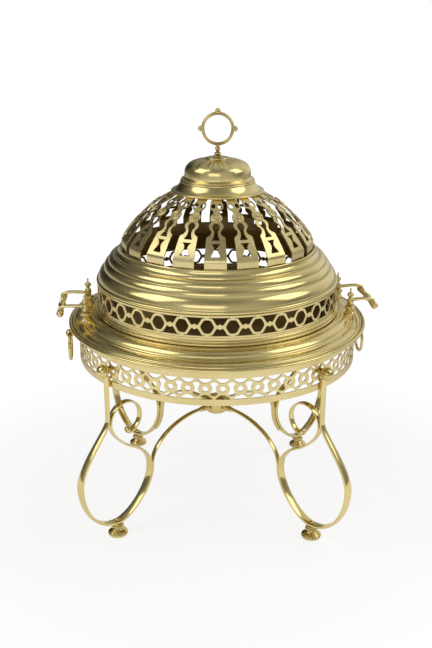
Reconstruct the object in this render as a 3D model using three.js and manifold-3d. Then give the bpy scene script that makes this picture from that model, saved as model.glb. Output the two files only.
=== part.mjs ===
// Charcoal brazier in polished brass: a pierced hoop on four scroll legs carries a lift-out fire pan
// with two folding handles, and a lift-off lid with a pierced gallery, a dome of flat ribs and a ring
// finial. Millimetres, +Z up, floor at z = 0, the round axis is the Z axis, the front is -Y.
import * as THREE from 'three';
import { mergeGeometries, mergeVertices } from 'three/addons/utils/BufferGeometryUtils.js';
import Module from 'manifold-3d';

const wasm = await Module();
wasm.setup();

// ---------------------------------------------------------------- driving dimensions (mm, degrees)

const seatGap = 0.3; // between pieces that touch
const roundSides = 36; // sides of the large round mouldings

// hoop of the stand
const hoopRadius = 234;
const hoopWall = 2;
const hoopBottom = 270;
const hoopHeight = 65.4;
const hoopRepeats = 56;
const hoopLowerBand = 11;
const hoopPierceHeight = 32;
const hoopLobeWidth = 10; // widest part of a waisted piercing
const hoopNeckWidth = 5.6;
const hoopLobeHeight = 27;
const hoopRingHole = 4.3; // radius of the small round piercing between two waisted ones
const hoopSeamBow = 7.4; // the strip between two piercings stands this far off the round one

// scroll legs, one forged strip each, heavier round the big loop
const stripThickness = 3.6;
const stripWidth = 10;
const loopThickness = 5;
const loopWidth = 14;
const strapStandoff = 3; // air between the hoop and the strap
const studHeight = 297; // height of the studs that hold the straps
const eyeHeight = 306; // height of the eyes of the drop rings
const strapTopMargin = 7; // strap above its stud
const strapStraightEnd = 212; // height where the strap leaves the vertical
const footCircle = 227;
const loopOutswing = 70; // big loop beyond the foot circle
const loopInswing = 72; // big loop inside the foot circle
const loopOuterHeight = 112;
const loopInnerHeight = 102;
const scrollRadius = 31; // small upper loop
const scrollHeight = 203;
const scrollEndRadius = 24;
const scrollTurn = 262;
const curlBallRadius = 5.5;
const riseSlope = 27; // degrees, where the bar crosses from the big loop to the scroll

// how far each stretch of a leg runs on before it bends
const strapRun = 17;
const outerTopRun = 38;
const outerLowRun = 49;
const footOuterRun = 38;
const footInnerRun = 28;
const innerLowRun = 38;
const innerTopRun = 26;
const crossingInnerRun = 20;
const crossingOuterRun = 18;

// feet
const footHeight = 20.5;
const footRadius = 17;
const footStudRadius = 2.5;

// hub and stretchers
const hubRadius = 20;
const hubHeight = 30;
const hubMiddle = 166;
const stretcherThickness = 4;
const stretcherWidth = 8;
const ferruleRadius = 6.5;
const ferruleLength = 20;
const tenonRadius = 3;
const tenonLength = 7;
const stretcherShoulder = 57; // how far the first bow stays level
const stretcherDrop = 37; // how long the second bow falls

// studs with a ball head, and the eyes of the drop rings
const ballRadius = 10.5;
const ballStandoff = 2.6; // centre of the ball beyond the face of the strap
const shankRadius = 2.2;
const collarRadius = 5.5;
const clenchRadius = 7;
const clenchThickness = 2;
const eyeBallRadius = 7.2;
const eyeNeck = 6;
const ringMeanRadius = 22.5;
const ringBar = 2.5;

// fire pan
const brimOverhang = 16; // brim beyond the hoop
const brimWidth = 44; // mouldings of the brim, outside the flat that the lid stands on
const brimRise = 15.6; // flat above the top of the hoop
const brimSheet = 2;
const brimSeatWidth = 16; // flat that the lid stands on
const bowlFloorRadius = 112;
const bowlDepth = 69;
const bowlSheet = 2;

// handles on the brim
const sideTurn = 360 / hoopRepeats; // the handle line stands one piercing off the X axis
const hingeInset = 31; // hinge line inside the edge of the brim
const hingeHeight = 14; // hinge line above the flat of the brim
const postSpacing = 93;
const postBore = 2.9;
const armRadius = 2.1;
const armReach = 41.5;
const armInset = 8.5; // arm beside its post
const gripDrop = 7.5;
const gripRadius = 6.2;
const gripEndRadius = 6;
const gripLength = 108;
const postFootRadius = 8.5;
const postTopLength = 24;
const rivetRadius = 2.7;

// lid, heights measured from the flat of the brim
const lidInset = 2; // base ring inside the edge of its flat
const baseRingHeight = 13;
const baseRingWidth = 7;
const galleryInset = 3.5; // gallery inside the base ring
const galleryWall = 2;
const galleryHeight = 34.6;
const galleryRail = 3;
const galleryRepeats = 33;
const hexagonWidth = 21;
const hexagonHeight = 20;
const hexagonStrap = 4;
const galleryTurn = -93.2; // degrees, where the middle of the first hexagon stands
const mouldedHeight = 57.5;
const mouldedSheet = 2.6;
const ribCount = 20;
const ribSheet = 1.8;
const domeInset = 43; // spring of the ribs inside the gallery
const springStandoff = 12.5; // spring of the ribs above the moulded ring
const ribFootDepth = 24.5; // how far the ribs reach down below their spring
const ribTopRadius = 66;
const domeHeight = 78.5; // from the spring of the ribs to their top ends
const domeSwell = 9; // how far the rib bows out from a straight line
const ribBaseWidth = 34;
const ribWaistWidth = 13.5;
const ribHeadWidth = 22;
const rosetteRadius = 9.2;
const ribTopWidth = 17;
const capRadius = 76;
const capRimThickness = 3;
const capHeight = 55;
const capSheet = 1.6;
const capBodyRadius = 54;
const finialStem = 17.5;
const finialRingRadius = 24;
const finialBar = 2.2;
const shellLength = 8;
const finialNutRadius = 8;

// ---------------------------------------------------------------------------------- shared helpers

const radians = THREE.MathUtils.degToRad;
const group = new THREE.Group();

/** One closed body from a three.js geometry: shared vertices merged, empty triangles dropped. */
function body(geometry) {
  const bare = new THREE.BufferGeometry();
  bare.setAttribute('position', geometry.getAttribute('position').clone());
  if (geometry.index) {
    bare.setIndex(geometry.index.clone());
  }
  const merged = mergeVertices(bare, 1e-3);
  const index = merged.index.array;
  const kept = [];
  for (let i = 0; i < index.length; i += 3) {
    const [a, b, c] = [index[i], index[i + 1], index[i + 2]];
    if (a !== b && b !== c && c !== a) {
      kept.push(a, b, c);
    }
  }
  merged.setIndex(kept);
  return outward(merged);
}

/** Turns a closed body inside out if its faces point inwards. */
function outward(geometry) {
  const position = geometry.getAttribute('position');
  const index = geometry.index.array;
  const [a, b, c] = [new THREE.Vector3(), new THREE.Vector3(), new THREE.Vector3()];
  let volume = 0;
  for (let i = 0; i < index.length; i += 3) {
    a.fromBufferAttribute(position, index[i]);
    b.fromBufferAttribute(position, index[i + 1]);
    c.fromBufferAttribute(position, index[i + 2]);
    volume += a.dot(b.cross(c));
  }
  if (volume < 0) {
    const flipped = Array.from(index);
    for (let i = 0; i < flipped.length; i += 3) {
      [flipped[i], flipped[i + 1]] = [flipped[i + 1], flipped[i]];
    }
    geometry.setIndex(flipped);
  }
  return geometry;
}

function toManifold(geometry) {
  const closed = body(geometry);
  const mesh = new wasm.Mesh({
    numProp: 3,
    vertProperties: new Float32Array(closed.getAttribute('position').array),
    triVerts: new Uint32Array(closed.index.array),
  });
  return new wasm.Manifold(mesh);
}

function fromManifold(solid) {
  const mesh = solid.getMesh();
  const geometry = new THREE.BufferGeometry();
  geometry.setAttribute('position', new THREE.BufferAttribute(mesh.vertProperties, 3));
  geometry.setIndex(Array.from(mesh.triVerts));
  return geometry;
}

/** First geometry joined with every other one. */
function join(first, ...others) {
  return fromManifold(others.reduce((sum, next) => sum.add(toManifold(next)), toManifold(first)));
}

/** First geometry with every other one cut away. */
function cut(first, ...tools) {
  return fromManifold(tools.reduce((rest, tool) => rest.subtract(toManifold(tool)), toManifold(first)));
}

/** Round solid about the Z axis from [radius, height] pairs, closed on itself or on the axis. */
function turned(profile, sides) {
  const points = profile.map(([radius, height]) => new THREE.Vector2(radius, height));
  const onAxis = profile[0][0] === 0 && profile[profile.length - 1][0] === 0;
  if (!onAxis) {
    points.push(points[0].clone());
  }
  return body(new THREE.LatheGeometry(points, sides).rotateX(Math.PI / 2));
}

/** Turned solid laid along +X, its profile heights becoming distances from the Z axis. */
function turnedAlongX(profile, sides) {
  return turned(profile, sides).rotateY(Math.PI / 2);
}

function rod(radius, length, sides) {
  return body(new THREE.CylinderGeometry(radius, radius, length, sides).rotateX(Math.PI / 2));
}

/** [radius, height] points of a half-round swelling that leans away from the axis. */
function roundNose(radius, centre, bulge, fromAngle, toAngle, steps) {
  const points = [];
  for (let i = 0; i <= steps; i += 1) {
    const angle = radians(fromAngle + ((toAngle - fromAngle) * i) / steps);
    points.push([radius + bulge * Math.cos(angle), centre + bulge * Math.sin(angle)]);
  }
  return points;
}

/** Points of a centreline moved sideways by an offset, left of its direction of travel. */
function sidestep(points, offset) {
  return points.map((point, i) => {
    const before = points[Math.max(i - 1, 0)];
    const after = points[Math.min(i + 1, points.length - 1)];
    const along = after.clone().sub(before).normalize();
    return new THREE.Vector2(point.x - along.y * offset, point.y + along.x * offset);
  });
}

/**
 * Strip bent along a centreline in the upright plane through the axis. thickness and width take the
 * number of a point of the centreline.
 */
function bentStrip(centreline, thickness, width) {
  const index = [];
  const last = centreline.length - 1;
  const points = centreline.flatMap((point, i) => {
    const before = centreline[Math.max(i - 1, 0)];
    const after = centreline[Math.min(i + 1, last)];
    const along = after.clone().sub(before).normalize();
    const lift = new THREE.Vector3(-along.y, 0, along.x).multiplyScalar(thickness(i) / 2);
    return [[1, 1], [1, -1], [-1, -1], [-1, 1]].map(([up, across]) => (
      new THREE.Vector3(point.x + up * lift.x, (across * width(i)) / 2, point.y + up * lift.z)
    ));
  });
  for (let i = 0; i < last; i += 1) {
    for (let k = 0; k < 4; k += 1) {
      const [a, b] = [4 * i + k, 4 * i + ((k + 1) % 4)];
      index.push(a, b, b + 4, a, b + 4, a + 4);
    }
  }
  index.push(0, 2, 1, 0, 3, 2, 4 * last, 4 * last + 1, 4 * last + 2, 4 * last, 4 * last + 2, 4 * last + 3);
  const geometry = new THREE.BufferGeometry().setFromPoints(points);
  geometry.setIndex(index);
  return body(geometry);
}

/**
 * Sheet metal from a flat outline with openings. place(x, y, depth) bends a point of the outline
 * into space, depth 0 on the outside and 1 on the inside. The first and second half of the outline
 * are seams when seamed is true: no wall is built there, so that copies join edge to edge.
 */
function sheet(outline, openings, place, seamed) {
  const flat = [...outline, ...openings.flat()];
  const count = flat.length;
  const triangles = THREE.ShapeUtils.triangulateShape(outline, openings);
  const directed = new Set(triangles.flatMap(([a, b, c]) => [`${a} ${b}`, `${b} ${c}`, `${c} ${a}`]));
  const half = outline.length / 2;
  const onSeam = (a, b) => seamed && a < 2 * half && b < 2 * half && (a < half) === (b < half);
  const index = [];
  for (const [a, b, c] of triangles) {
    index.push(a, b, c, count + a, count + c, count + b);
    for (const [from, to] of [[a, b], [b, c], [c, a]]) {
      if (!directed.has(`${to} ${from}`) && !onSeam(from, to)) {
        index.push(to, from, count + from, to, count + from, count + to);
      }
    }
  }
  const points = [0, 1].flatMap((depth) => flat.map((point) => place(point.x, point.y, depth)));
  const geometry = new THREE.BufferGeometry().setFromPoints(points);
  geometry.setIndex(index);
  return geometry;
}

/** Pierced round band: one cell of sheet, repeated around the axis and joined at its seams. */
function piercedBand(radius, wall, bottom, repeats, seam, openings) {
  const pitch = (2 * Math.PI * radius) / repeats;
  const farSeam = seam.map((point) => new THREE.Vector2(point.x + pitch, point.y));
  const outline = [...farSeam, ...seam.slice().reverse()];
  const cells = [];
  for (let i = 0; i < repeats; i += 1) {
    const place = (x, y, depth) => {
      const angle = (x + i * pitch) / radius;
      const reach = radius - depth * wall;
      return new THREE.Vector3(reach * Math.cos(angle), reach * Math.sin(angle), bottom + y);
    };
    cells.push(sheet(outline, openings, place, true));
  }
  return body(mergeGeometries(cells));
}

/** Polygon around a centre from [x, y] pairs. */
function polygon(centreX, centreY, pairs) {
  return pairs.map(([x, y]) => new THREE.Vector2(centreX + x, centreY + y));
}

/** Mouldings: pairs of shares of the run (from outside in) and of the rise (from below up). */
function moulding(shares, outerRadius, innerRadius, bottom, top) {
  return shares.map(([run, rise]) => [
    outerRadius + (innerRadius - outerRadius) * run,
    bottom + (top - bottom) * rise,
  ]);
}

const finishes = {
  spun: { color: 0xd8b964, roughness: 0.2, metalness: 1 },
  cast: { color: 0xcda650, roughness: 0.28, metalness: 1 },
  bar: { color: 0xd3b05a, roughness: 0.24, metalness: 1 },
  pierced: { color: 0xdcbf6e, roughness: 0.24, metalness: 1 },
};

/** Adds a named piece to the object, turned about the axis and raised. */
function add(name, geometry, finish, turn = 0, raise = 0) {
  const mesh = new THREE.Mesh(geometry, new THREE.MeshStandardMaterial(finishes[finish]));
  mesh.name = name;
  mesh.rotation.z = radians(turn);
  mesh.position.z = raise;
  group.add(mesh);
}

// --------------------------------------------------------------------------------- derived places

const legs = [
  ['front_left', 225],
  ['front_right', 315],
  ['rear_right', 45],
  ['rear_left', 135],
];
const sides = [
  ['right', sideTurn],
  ['left', sideTurn + 180],
];
const hoopTop = hoopBottom + hoopHeight;
const strapRadius = hoopRadius + strapStandoff + stripThickness / 2;
const strapOuterFace = strapRadius + stripThickness / 2;
const brimFlat = hoopTop + brimRise;
const brimRadius = hoopRadius + brimOverhang;
const brimSeatRadius = brimRadius - brimWidth;
const bowlRimRadius = brimSeatRadius - brimSeatWidth;
const hingeDistance = brimRadius - hingeInset;
const baseRingRadius = brimSeatRadius - lidInset;
const galleryRadius = baseRingRadius - galleryInset;
const ribSpringRadius = galleryRadius - domeInset;
const lidBottom = brimFlat + seatGap;
const galleryBottom = baseRingHeight + seatGap;
const mouldedBottom = galleryBottom + galleryHeight + seatGap;
const mouldedTop = mouldedBottom + mouldedHeight;
const ribSpring = mouldedTop + springStandoff;
const ribTop = ribSpring + domeHeight;

// -------------------------------------------------------------------------------------- the stand

function galleryHoop() {
  const pitch = (2 * Math.PI * hoopRadius) / hoopRepeats;
  const middle = hoopLowerBand + hoopPierceHeight / 2;
  const seam = polygon(0, middle, [
    [0, -middle], [0, -hoopSeamBow], [-hoopSeamBow, 0], [0, hoopSeamBow], [0, hoopHeight - middle],
  ]);
  const lobe = hoopLobeWidth / 2;
  const neck = hoopNeckWidth / 2;
  const half = hoopLobeHeight / 2;
  const waisted = polygon(pitch / 2, middle, [
    [-lobe, -half], [lobe, -half], [neck, 0], [lobe, half], [-lobe, half], [-neck, 0],
  ]);
  const round = polygon(0, middle, roundNose(0, 0, hoopRingHole, 0, 300, 5));
  const band = piercedBand(hoopRadius, hoopWall, hoopBottom, hoopRepeats, seam, [round, waisted]);
  // a piercing, not the metal between two of them, stands on the X axis
  return band.rotateZ(-pitch / 2 / hoopRadius);
}

/** Centreline of a leg in the plane through the axis: x is the radius, y is the height. */
const bigLoop = (() => {
  const v = (x, y) => new THREE.Vector2(x, y);
  const footLevel = footHeight + seatGap + loopThickness / 2;
  const outermost = footCircle + loopOutswing;
  const innermost = footCircle - loopInswing;
  const scrollCentre = v(strapRadius - stripThickness - 2 * seatGap - scrollRadius, scrollHeight);
  const turning = v((innermost + scrollCentre.x + scrollRadius) / 2, (loopInnerHeight + scrollHeight) / 2);
  const slope = v(Math.cos(radians(riseSlope)), Math.sin(radians(riseSlope)));
  const scrollStart = v(scrollCentre.x + scrollRadius, scrollHeight);
  const curves = {
    fall: new THREE.CubicBezierCurve(
      v(strapRadius, strapStraightEnd), v(strapRadius, strapStraightEnd - strapRun),
      v(outermost, loopOuterHeight + outerTopRun), v(outermost, loopOuterHeight),
    ),
    heel: new THREE.CubicBezierCurve(
      v(outermost, loopOuterHeight), v(outermost, loopOuterHeight - outerLowRun),
      v(footCircle + footOuterRun, footLevel), v(footCircle, footLevel),
    ),
    toe: new THREE.CubicBezierCurve(
      v(footCircle, footLevel), v(footCircle - footInnerRun, footLevel),
      v(innermost, loopInnerHeight - innerLowRun), v(innermost, loopInnerHeight),
    ),
    rise: new THREE.CubicBezierCurve(
      v(innermost, loopInnerHeight), v(innermost, loopInnerHeight + innerTopRun),
      turning.clone().addScaledVector(slope, -crossingInnerRun), turning,
    ),
    sweep: new THREE.CubicBezierCurve(
      turning, turning.clone().addScaledVector(slope, crossingOuterRun),
      scrollStart.clone().add(v(0, -crossingOuterRun)), scrollStart,
    ),
  };
  return { curves, scrollCentre };
})();

/** Small upper loop, drawn in towards its curled end. */
function scrollPoint(angle) {
  const share = angle / scrollTurn;
  const reach = scrollRadius + (scrollEndRadius - scrollRadius) * share ** 3;
  return new THREE.Vector2(
    bigLoop.scrollCentre.x + reach * Math.cos(radians(angle)),
    bigLoop.scrollCentre.y + reach * Math.sin(radians(angle)),
  );
}

function scrollLeg() {
  const { fall, heel, toe, rise, sweep } = bigLoop.curves;
  const centreline = [new THREE.Vector2(strapRadius, studHeight + strapTopMargin)];
  const weights = [0]; // 0 on the light ends of the strip and 1 round the big loop
  const run = (curve, steps, weight) => {
    for (let i = 1; i <= steps; i += 1) {
      centreline.push(curve.getPoint(i / steps));
      weights.push(weight(i / steps));
    }
  };
  centreline.push(fall.getPoint(0));
  weights.push(0);
  run(fall, 5, (share) => share);
  run(heel, 5, () => 1);
  run(toe, 5, () => 1);
  run(rise, 4, (share) => 1 - share);
  run(sweep, 3, () => 0);
  const scrollSteps = 10;
  for (let i = 1; i <= scrollSteps; i += 1) {
    centreline.push(scrollPoint((scrollTurn * i) / scrollSteps));
    weights.push(0);
  }
  const strip = bentStrip(
    centreline,
    (i) => stripThickness + (loopThickness - stripThickness) * weights[i],
    (i) => stripWidth + (loopWidth - stripWidth) * weights[i],
  );
  const end = scrollPoint(scrollTurn);
  const curl = body(new THREE.CylinderGeometry(curlBallRadius, curlBallRadius, stripWidth, 7));
  curl.translate(end.x, 0, end.y + curlBallRadius - stripThickness / 2);
  const touch = turnedAlongX([[0, 0], [2.5, 0], [2.5, 2 * stripThickness], [0, 2 * stripThickness]], 6);
  touch.translate(strapRadius - 1.5 * stripThickness, 0, scrollHeight + 4);
  const studHole = rod(shankRadius + seatGap, 3 * stripThickness, 8).rotateY(Math.PI / 2);
  studHole.translate(strapRadius, 0, studHeight);
  const footHole = rod(footStudRadius + seatGap, 3 * loopThickness, 8);
  footHole.translate(footCircle, 0, footHeight + loopThickness / 2);
  return cut(join(strip, curl, touch), studHole, footHole);
}

function bunFoot() {
  const stripTop = footHeight + loopThickness + 6 * seatGap;
  const waist = 0.45 * footRadius;
  return turned([
    [0, 0], [footRadius - 2, 0], [footRadius, 2], [footRadius, 0.3 * footHeight],
    [waist, 0.55 * footHeight], [waist + 2.6, 0.8 * footHeight], [waist + 0.6, footHeight],
    [footStudRadius, footHeight], [footStudRadius, stripTop], [footStudRadius + 1.5, stripTop],
    [0, stripTop + 2],
  ], 9).translate(footCircle, 0, 0);
}

/** Stud through a strap or the hoop: inner clench, shank, collar on the hoop, shank, outer end. */
function studShank(outerEnd) {
  const inner = hoopRadius - hoopWall - seatGap;
  const collarStart = hoopRadius + seatGap + 0.1;
  const collarEnd = hoopRadius + strapStandoff - seatGap;
  return [
    [0, inner - clenchThickness], [clenchRadius, inner - clenchThickness], [clenchRadius, inner],
    [shankRadius, inner], [shankRadius, collarStart], [collarRadius, collarStart],
    [collarRadius, collarEnd], [shankRadius, collarEnd], [shankRadius, outerEnd],
  ];
}

function ballStud() {
  const face = strapOuterFace + seatGap;
  const centre = face + ballStandoff;
  const cutAngle = THREE.MathUtils.radToDeg(Math.asin(ballStandoff / ballRadius));
  const ball = roundNose(0, centre, ballRadius, -cutAngle, 90, 4);
  ball[ball.length - 1][0] = 0;
  return turnedAlongX([...studShank(face), ...ball], 8).translate(0, 0, studHeight);
}

const eyeDistance = hoopRadius + strapStandoff + eyeNeck + eyeBallRadius;
const eyeHole = ringBar + 1.6;
const ringDrop = 0.3; // the ring bar hangs a little under the middle of its eye

function ringEye() {
  const ball = roundNose(0, eyeDistance, eyeBallRadius, -65, 90, 4);
  ball[ball.length - 1][0] = 0;
  const stud = turnedAlongX([...studShank(ball[0][1]), ...ball], 8);
  const bore = rod(eyeHole, 3 * eyeBallRadius, 8).rotateX(Math.PI / 2);
  return cut(stud, bore.translate(eyeDistance, 0, 0)).translate(0, 0, eyeHeight);
}

function dropRing() {
  const ring = body(new THREE.TorusGeometry(ringMeanRadius, ringBar, 5, 18));
  ring.rotateY(Math.PI / 2);
  return ring.translate(eyeDistance, 0, eyeHeight - ringDrop - ringMeanRadius);
}

function centreHub() {
  const low = hubMiddle - hubHeight / 2;
  const high = hubMiddle + hubHeight / 2;
  const boss = turned([
    [0, low], [0.7 * hubRadius, low], [hubRadius, low + 5], [hubRadius, high - 5],
    [0.7 * hubRadius, high], [0, high],
  ], 16);
  const sockets = legs.map(([, turn]) => {
    const socket = turnedAlongX([
      [0, hubRadius - tenonLength], [tenonRadius + seatGap, hubRadius - tenonLength],
      [tenonRadius + seatGap, hubRadius + 5], [0, hubRadius + 5],
    ], 8);
    return socket.translate(0, 0, hubMiddle).rotateZ(radians(turn));
  });
  return cut(boss, ...sockets);
}

function stretcherBar() {
  const shoulder = hubRadius + seatGap;
  const ferruleEnd = shoulder + ferruleLength;
  const clearance = (loopThickness + stretcherThickness) / 2 + seatGap;
  const besideLoop = sidestep(bigLoop.curves.toe.getPoints(5).reverse(), -clearance).slice(0, 3);
  const meeting = besideLoop[0];
  const bow = new THREE.CubicBezierCurve(
    new THREE.Vector2(ferruleEnd - 3, hubMiddle),
    new THREE.Vector2(ferruleEnd + stretcherShoulder, hubMiddle + 3),
    new THREE.Vector2(meeting.x - 2, meeting.y + stretcherDrop), meeting,
  );
  const centreline = [...bow.getPoints(7), ...besideLoop.slice(1)];
  const strip = bentStrip(centreline, () => stretcherThickness, () => stretcherWidth);
  const ferrule = turnedAlongX([
    [0, shoulder - tenonLength + seatGap], [tenonRadius, shoulder - tenonLength + seatGap],
    [tenonRadius, shoulder], [ferruleRadius, shoulder + 0.2 * ferruleLength],
    [ferruleRadius - 2, shoulder + 0.4 * ferruleLength], [ferruleRadius, shoulder + 0.65 * ferruleLength],
    [ferruleRadius - 2, ferruleEnd], [0, ferruleEnd],
  ], 7).translate(0, 0, hubMiddle);
  return join(strip, ferrule);
}

add('gallery_hoop', galleryHoop(), 'pierced');
add('centre_hub', centreHub(), 'cast');
for (const [corner, turn] of legs) {
  add(`leg_${corner}`, scrollLeg(), 'bar', turn);
  add(`foot_${corner}`, bunFoot(), 'cast', turn);
  add(`ball_stud_${corner}`, ballStud(), 'cast', turn);
  add(`stretcher_${corner}`, stretcherBar(), 'bar', turn);
}
for (const [side, turn] of sides) {
  add(`ring_eye_${side}`, ringEye(), 'cast', turn);
  add(`drop_ring_${side}`, dropRing(), 'cast', turn);
}

// ----------------------------------------------------------------------------------- the fire pan

/** Upper face of the brim from its flat outwards, raised by a clearance. */
function brimTop(raise) {
  const drop = brimFlat - hoopTop;
  const face = moulding([
    [0, 0], [0.22, 0.12], [0.36, 0.32], [0.45, 0.58], [0.48, 0.68], [0.75, 0.86], [0.82, 0.93],
    [0.92, 0.87],
  ], brimSeatRadius, brimRadius, brimFlat, brimFlat - drop - brimSheet);
  return face.map(([radius, height]) => [radius, height + raise]);
}

function firePan() {
  const floor = brimFlat - bowlDepth;
  const bowlShoulder = 0.4 * bowlFloorRadius + 0.6 * bowlRimRadius;
  const rest = hoopTop + seatGap;
  const pan = turned([
    [0, floor], [bowlFloorRadius, floor], [bowlShoulder, floor + 0.16 * bowlDepth],
    [bowlRimRadius - 12, floor + 0.6 * bowlDepth], [bowlRimRadius, brimFlat], ...brimTop(0),
    [brimRadius, hoopTop - 2], [brimRadius - 1.5, hoopTop - 5.5], [brimRadius - 8, rest],
    [hoopRadius - hoopWall - 4, rest], [brimSeatRadius + 12, brimFlat - 2.5 * brimSheet],
    [brimSeatRadius, brimFlat - brimSheet], [bowlRimRadius + bowlSheet, brimFlat - brimSheet],
    [bowlRimRadius + bowlSheet - 12, floor + 0.58 * bowlDepth],
    [bowlShoulder + bowlSheet, floor + 0.16 * bowlDepth - bowlSheet],
    [bowlFloorRadius, floor - bowlSheet], [0, floor - bowlSheet],
  ], roundSides);
  const holes = [];
  for (const [, turn] of sides) {
    for (const hand of [-1, 1]) {
      const hole = rod(rivetRadius + seatGap, 5 * brimRise, 6);
      hole.translate(hingeDistance, (hand * postSpacing) / 2, brimFlat);
      holes.push(hole.rotateZ(radians(turn)));
    }
  }
  return cut(pan, ...holes);
}

/** Post of a handle: turned stud on a splayed foot, ball and spike on top, riveted under the brim. */
function handlePost(hand) {
  const axisLevel = brimFlat + hingeHeight;
  const place = [hingeDistance, (hand * postSpacing) / 2, 0];
  const under = hoopTop + seatGap;
  const stud = turned([
    [0, axisLevel - 30], [postFootRadius, axisLevel - 30], [postFootRadius, axisLevel - 20],
    [4, axisLevel - 11], [5.4, axisLevel - 5], [5.4, axisLevel + 5], [2.6, axisLevel + 8],
    [5, axisLevel + 12], [1.4, axisLevel + 17.5], [0, axisLevel + postTopLength],
  ], 8).translate(...place);
  const lowest = axisLevel - 4 * hingeHeight;
  const brimBelow = turned([
    ...brimTop(seatGap), [brimRadius, lowest], [bowlRimRadius, lowest], [bowlRimRadius, brimFlat + seatGap],
  ].reverse(), roundSides).rotateZ(radians(-sideTurn));
  const bore = rod(postBore, 40, 6).rotateX(Math.PI / 2).translate(place[0], place[1], axisLevel);
  const rivet = turned([
    [0, under - 5], [rivetRadius + 2, under - 5], [rivetRadius + 2, under - 1.5],
    [rivetRadius, under - 1.5], [rivetRadius, axisLevel - 12], [0, axisLevel - 12],
  ], 6).translate(...place);
  return join(cut(stud, brimBelow, bore), rivet);
}

/** Bent rod: pin through the post, arm outwards, tip turned down into the grip. */
function handleArm(hand) {
  const axisLevel = brimFlat + hingeHeight;
  const beside = postSpacing / 2 - armInset;
  const route = new THREE.CatmullRomCurve3([
    [0, postSpacing / 2 + 7, 0], [0, beside + 3.6, 0], [1.4, beside + 1, 0.2], [6, beside, 1],
    [armReach / 2, beside, 2.2], [armReach - 8, beside, 1.8], [armReach - 1, beside, -0.4],
    [armReach, beside, 4.6 - gripDrop], [armReach, beside, 2.4 - gripDrop],
  ].map(([x, y, z]) => new THREE.Vector3(x, hand * y, z)));
  const section = new THREE.Shape(polygon(0, 0, roundNose(0, 0, armRadius, 0, 288, 4)));
  const arm = new THREE.ExtrudeGeometry(section, { extrudePath: route, steps: 14, bevelEnabled: false });
  return body(arm.translate(hingeDistance, 0, axisLevel));
}

/** Turned baluster between two ball ends, with a socket over each arm tip. */
function handleGrip() {
  const end = gripLength / 2 - gripEndRadius;
  const beside = postSpacing / 2 - armInset;
  const oneEnd = [
    [0, -gripLength / 2], [0.7 * gripEndRadius, -gripLength / 2 + 1.6], [gripEndRadius, -end],
    [3.6, -end + 5], [5.4, -beside - 2.5], [5.4, -beside + 3.5], [3.8, -beside + 6],
    [3.8, -0.1 * gripLength - 7], [5.8, -0.1 * gripLength - 4], [4.4, -0.1 * gripLength],
  ];
  const otherEnd = oneEnd.map(([radius, along]) => [radius, -along]).reverse();
  const baluster = turned([...oneEnd, [gripRadius, 0], ...otherEnd], 8).rotateX(Math.PI / 2);
  const sockets = [-1, 1].map((hand) => rod(armRadius + 2 * seatGap, 14, 8).translate(0, hand * beside, 5));
  const level = brimFlat + hingeHeight - gripDrop;
  return cut(baluster, ...sockets).translate(hingeDistance + armReach, 0, level);
}

add('fire_pan', firePan(), 'spun');
for (const [side, turn] of sides) {
  for (const [end, hand] of [['front', side === 'right' ? -1 : 1], ['rear', side === 'right' ? 1 : -1]]) {
    add(`handle_post_${side}_${end}`, handlePost(hand), 'cast', turn);
    add(`handle_arm_${side}_${end}`, handleArm(hand), 'bar', turn);
  }
  add(`handle_grip_${side}`, handleGrip(), 'cast', turn);
}

// ----------------------------------------------------------------------------------------- the lid

function baseRing() {
  return turned(moulding([
    [0, 0], [0.02, 0.2], [0.25, 0.4], [0.42, 0.75], [0.45, 1], [0.85, 1], [1, 0],
  ], baseRingRadius, baseRingRadius - baseRingWidth, 0, baseRingHeight), roundSides);
}

function lidGallery() {
  const pitch = (2 * Math.PI * galleryRadius) / galleryRepeats;
  const middle = galleryHeight / 2;
  const halfWide = hexagonWidth / 2;
  const halfHigh = hexagonHeight / 2;
  const flat = 0.45 * halfWide;
  const around = hexagonStrap / 2;
  const seam = polygon(0, 0, [
    [0, 0], [0, middle - halfHigh - around], [-flat - around, middle - halfHigh - around],
    [-halfWide - around, middle], [-flat - around, middle + halfHigh + around],
    [0, middle + halfHigh + around], [0, galleryHeight],
  ]);
  const hexagon = polygon(0, middle, [
    [-halfWide, 0], [-flat, -halfHigh], [flat, -halfHigh],
    [halfWide, 0], [flat, halfHigh], [-flat, halfHigh],
  ]);
  const rail = middle - galleryRail;
  const railEnd = pitch / 2 - flat - around;
  const linkEnd = 0.6 * (pitch / 2 - halfWide);
  const spandrel = (up) => polygon(pitch / 2, middle, [
    [-railEnd, up * rail], [railEnd, up * rail],
    [linkEnd, up * 0.45 * halfHigh], [-linkEnd, up * 0.45 * halfHigh],
  ]);
  const band = piercedBand(
    galleryRadius, galleryWall, galleryBottom, galleryRepeats, seam, [hexagon, spandrel(1), spandrel(-1)],
  );
  return band.rotateZ(radians(galleryTurn));
}

function mouldedRing() {
  const outerRadius = galleryRadius + 1;
  const ribCorner = Math.hypot(ribSpringRadius, ribBaseWidth / 2);
  const innerRadius = ribCorner / Math.cos(Math.PI / roundSides) + seatGap;
  const outside = moulding([
    [0.06, 0], [0, 0.03], [0, 0.09], [0.06, 0.12], [0.17, 0.27], [0.29, 0.39], [0.31, 0.42], [0.42, 0.51],
    [0.48, 0.6], [0.6, 0.7], [0.75, 0.775], [0.79, 0.8], [0.82, 0.86], [0.94, 0.97], [0.96, 1], [1, 1],
  ], outerRadius, innerRadius, mouldedBottom, mouldedTop);
  const inside = moulding([
    [1, 0.8], [0.83, 0.73], [0.6, 0.575], [0.37, 0.337], [0.2, 0.13],
  ], outerRadius, innerRadius, mouldedBottom, mouldedTop);
  return turned([...outside, ...inside, [outerRadius - 2 * mouldedSheet, mouldedBottom]], roundSides);
}

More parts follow.
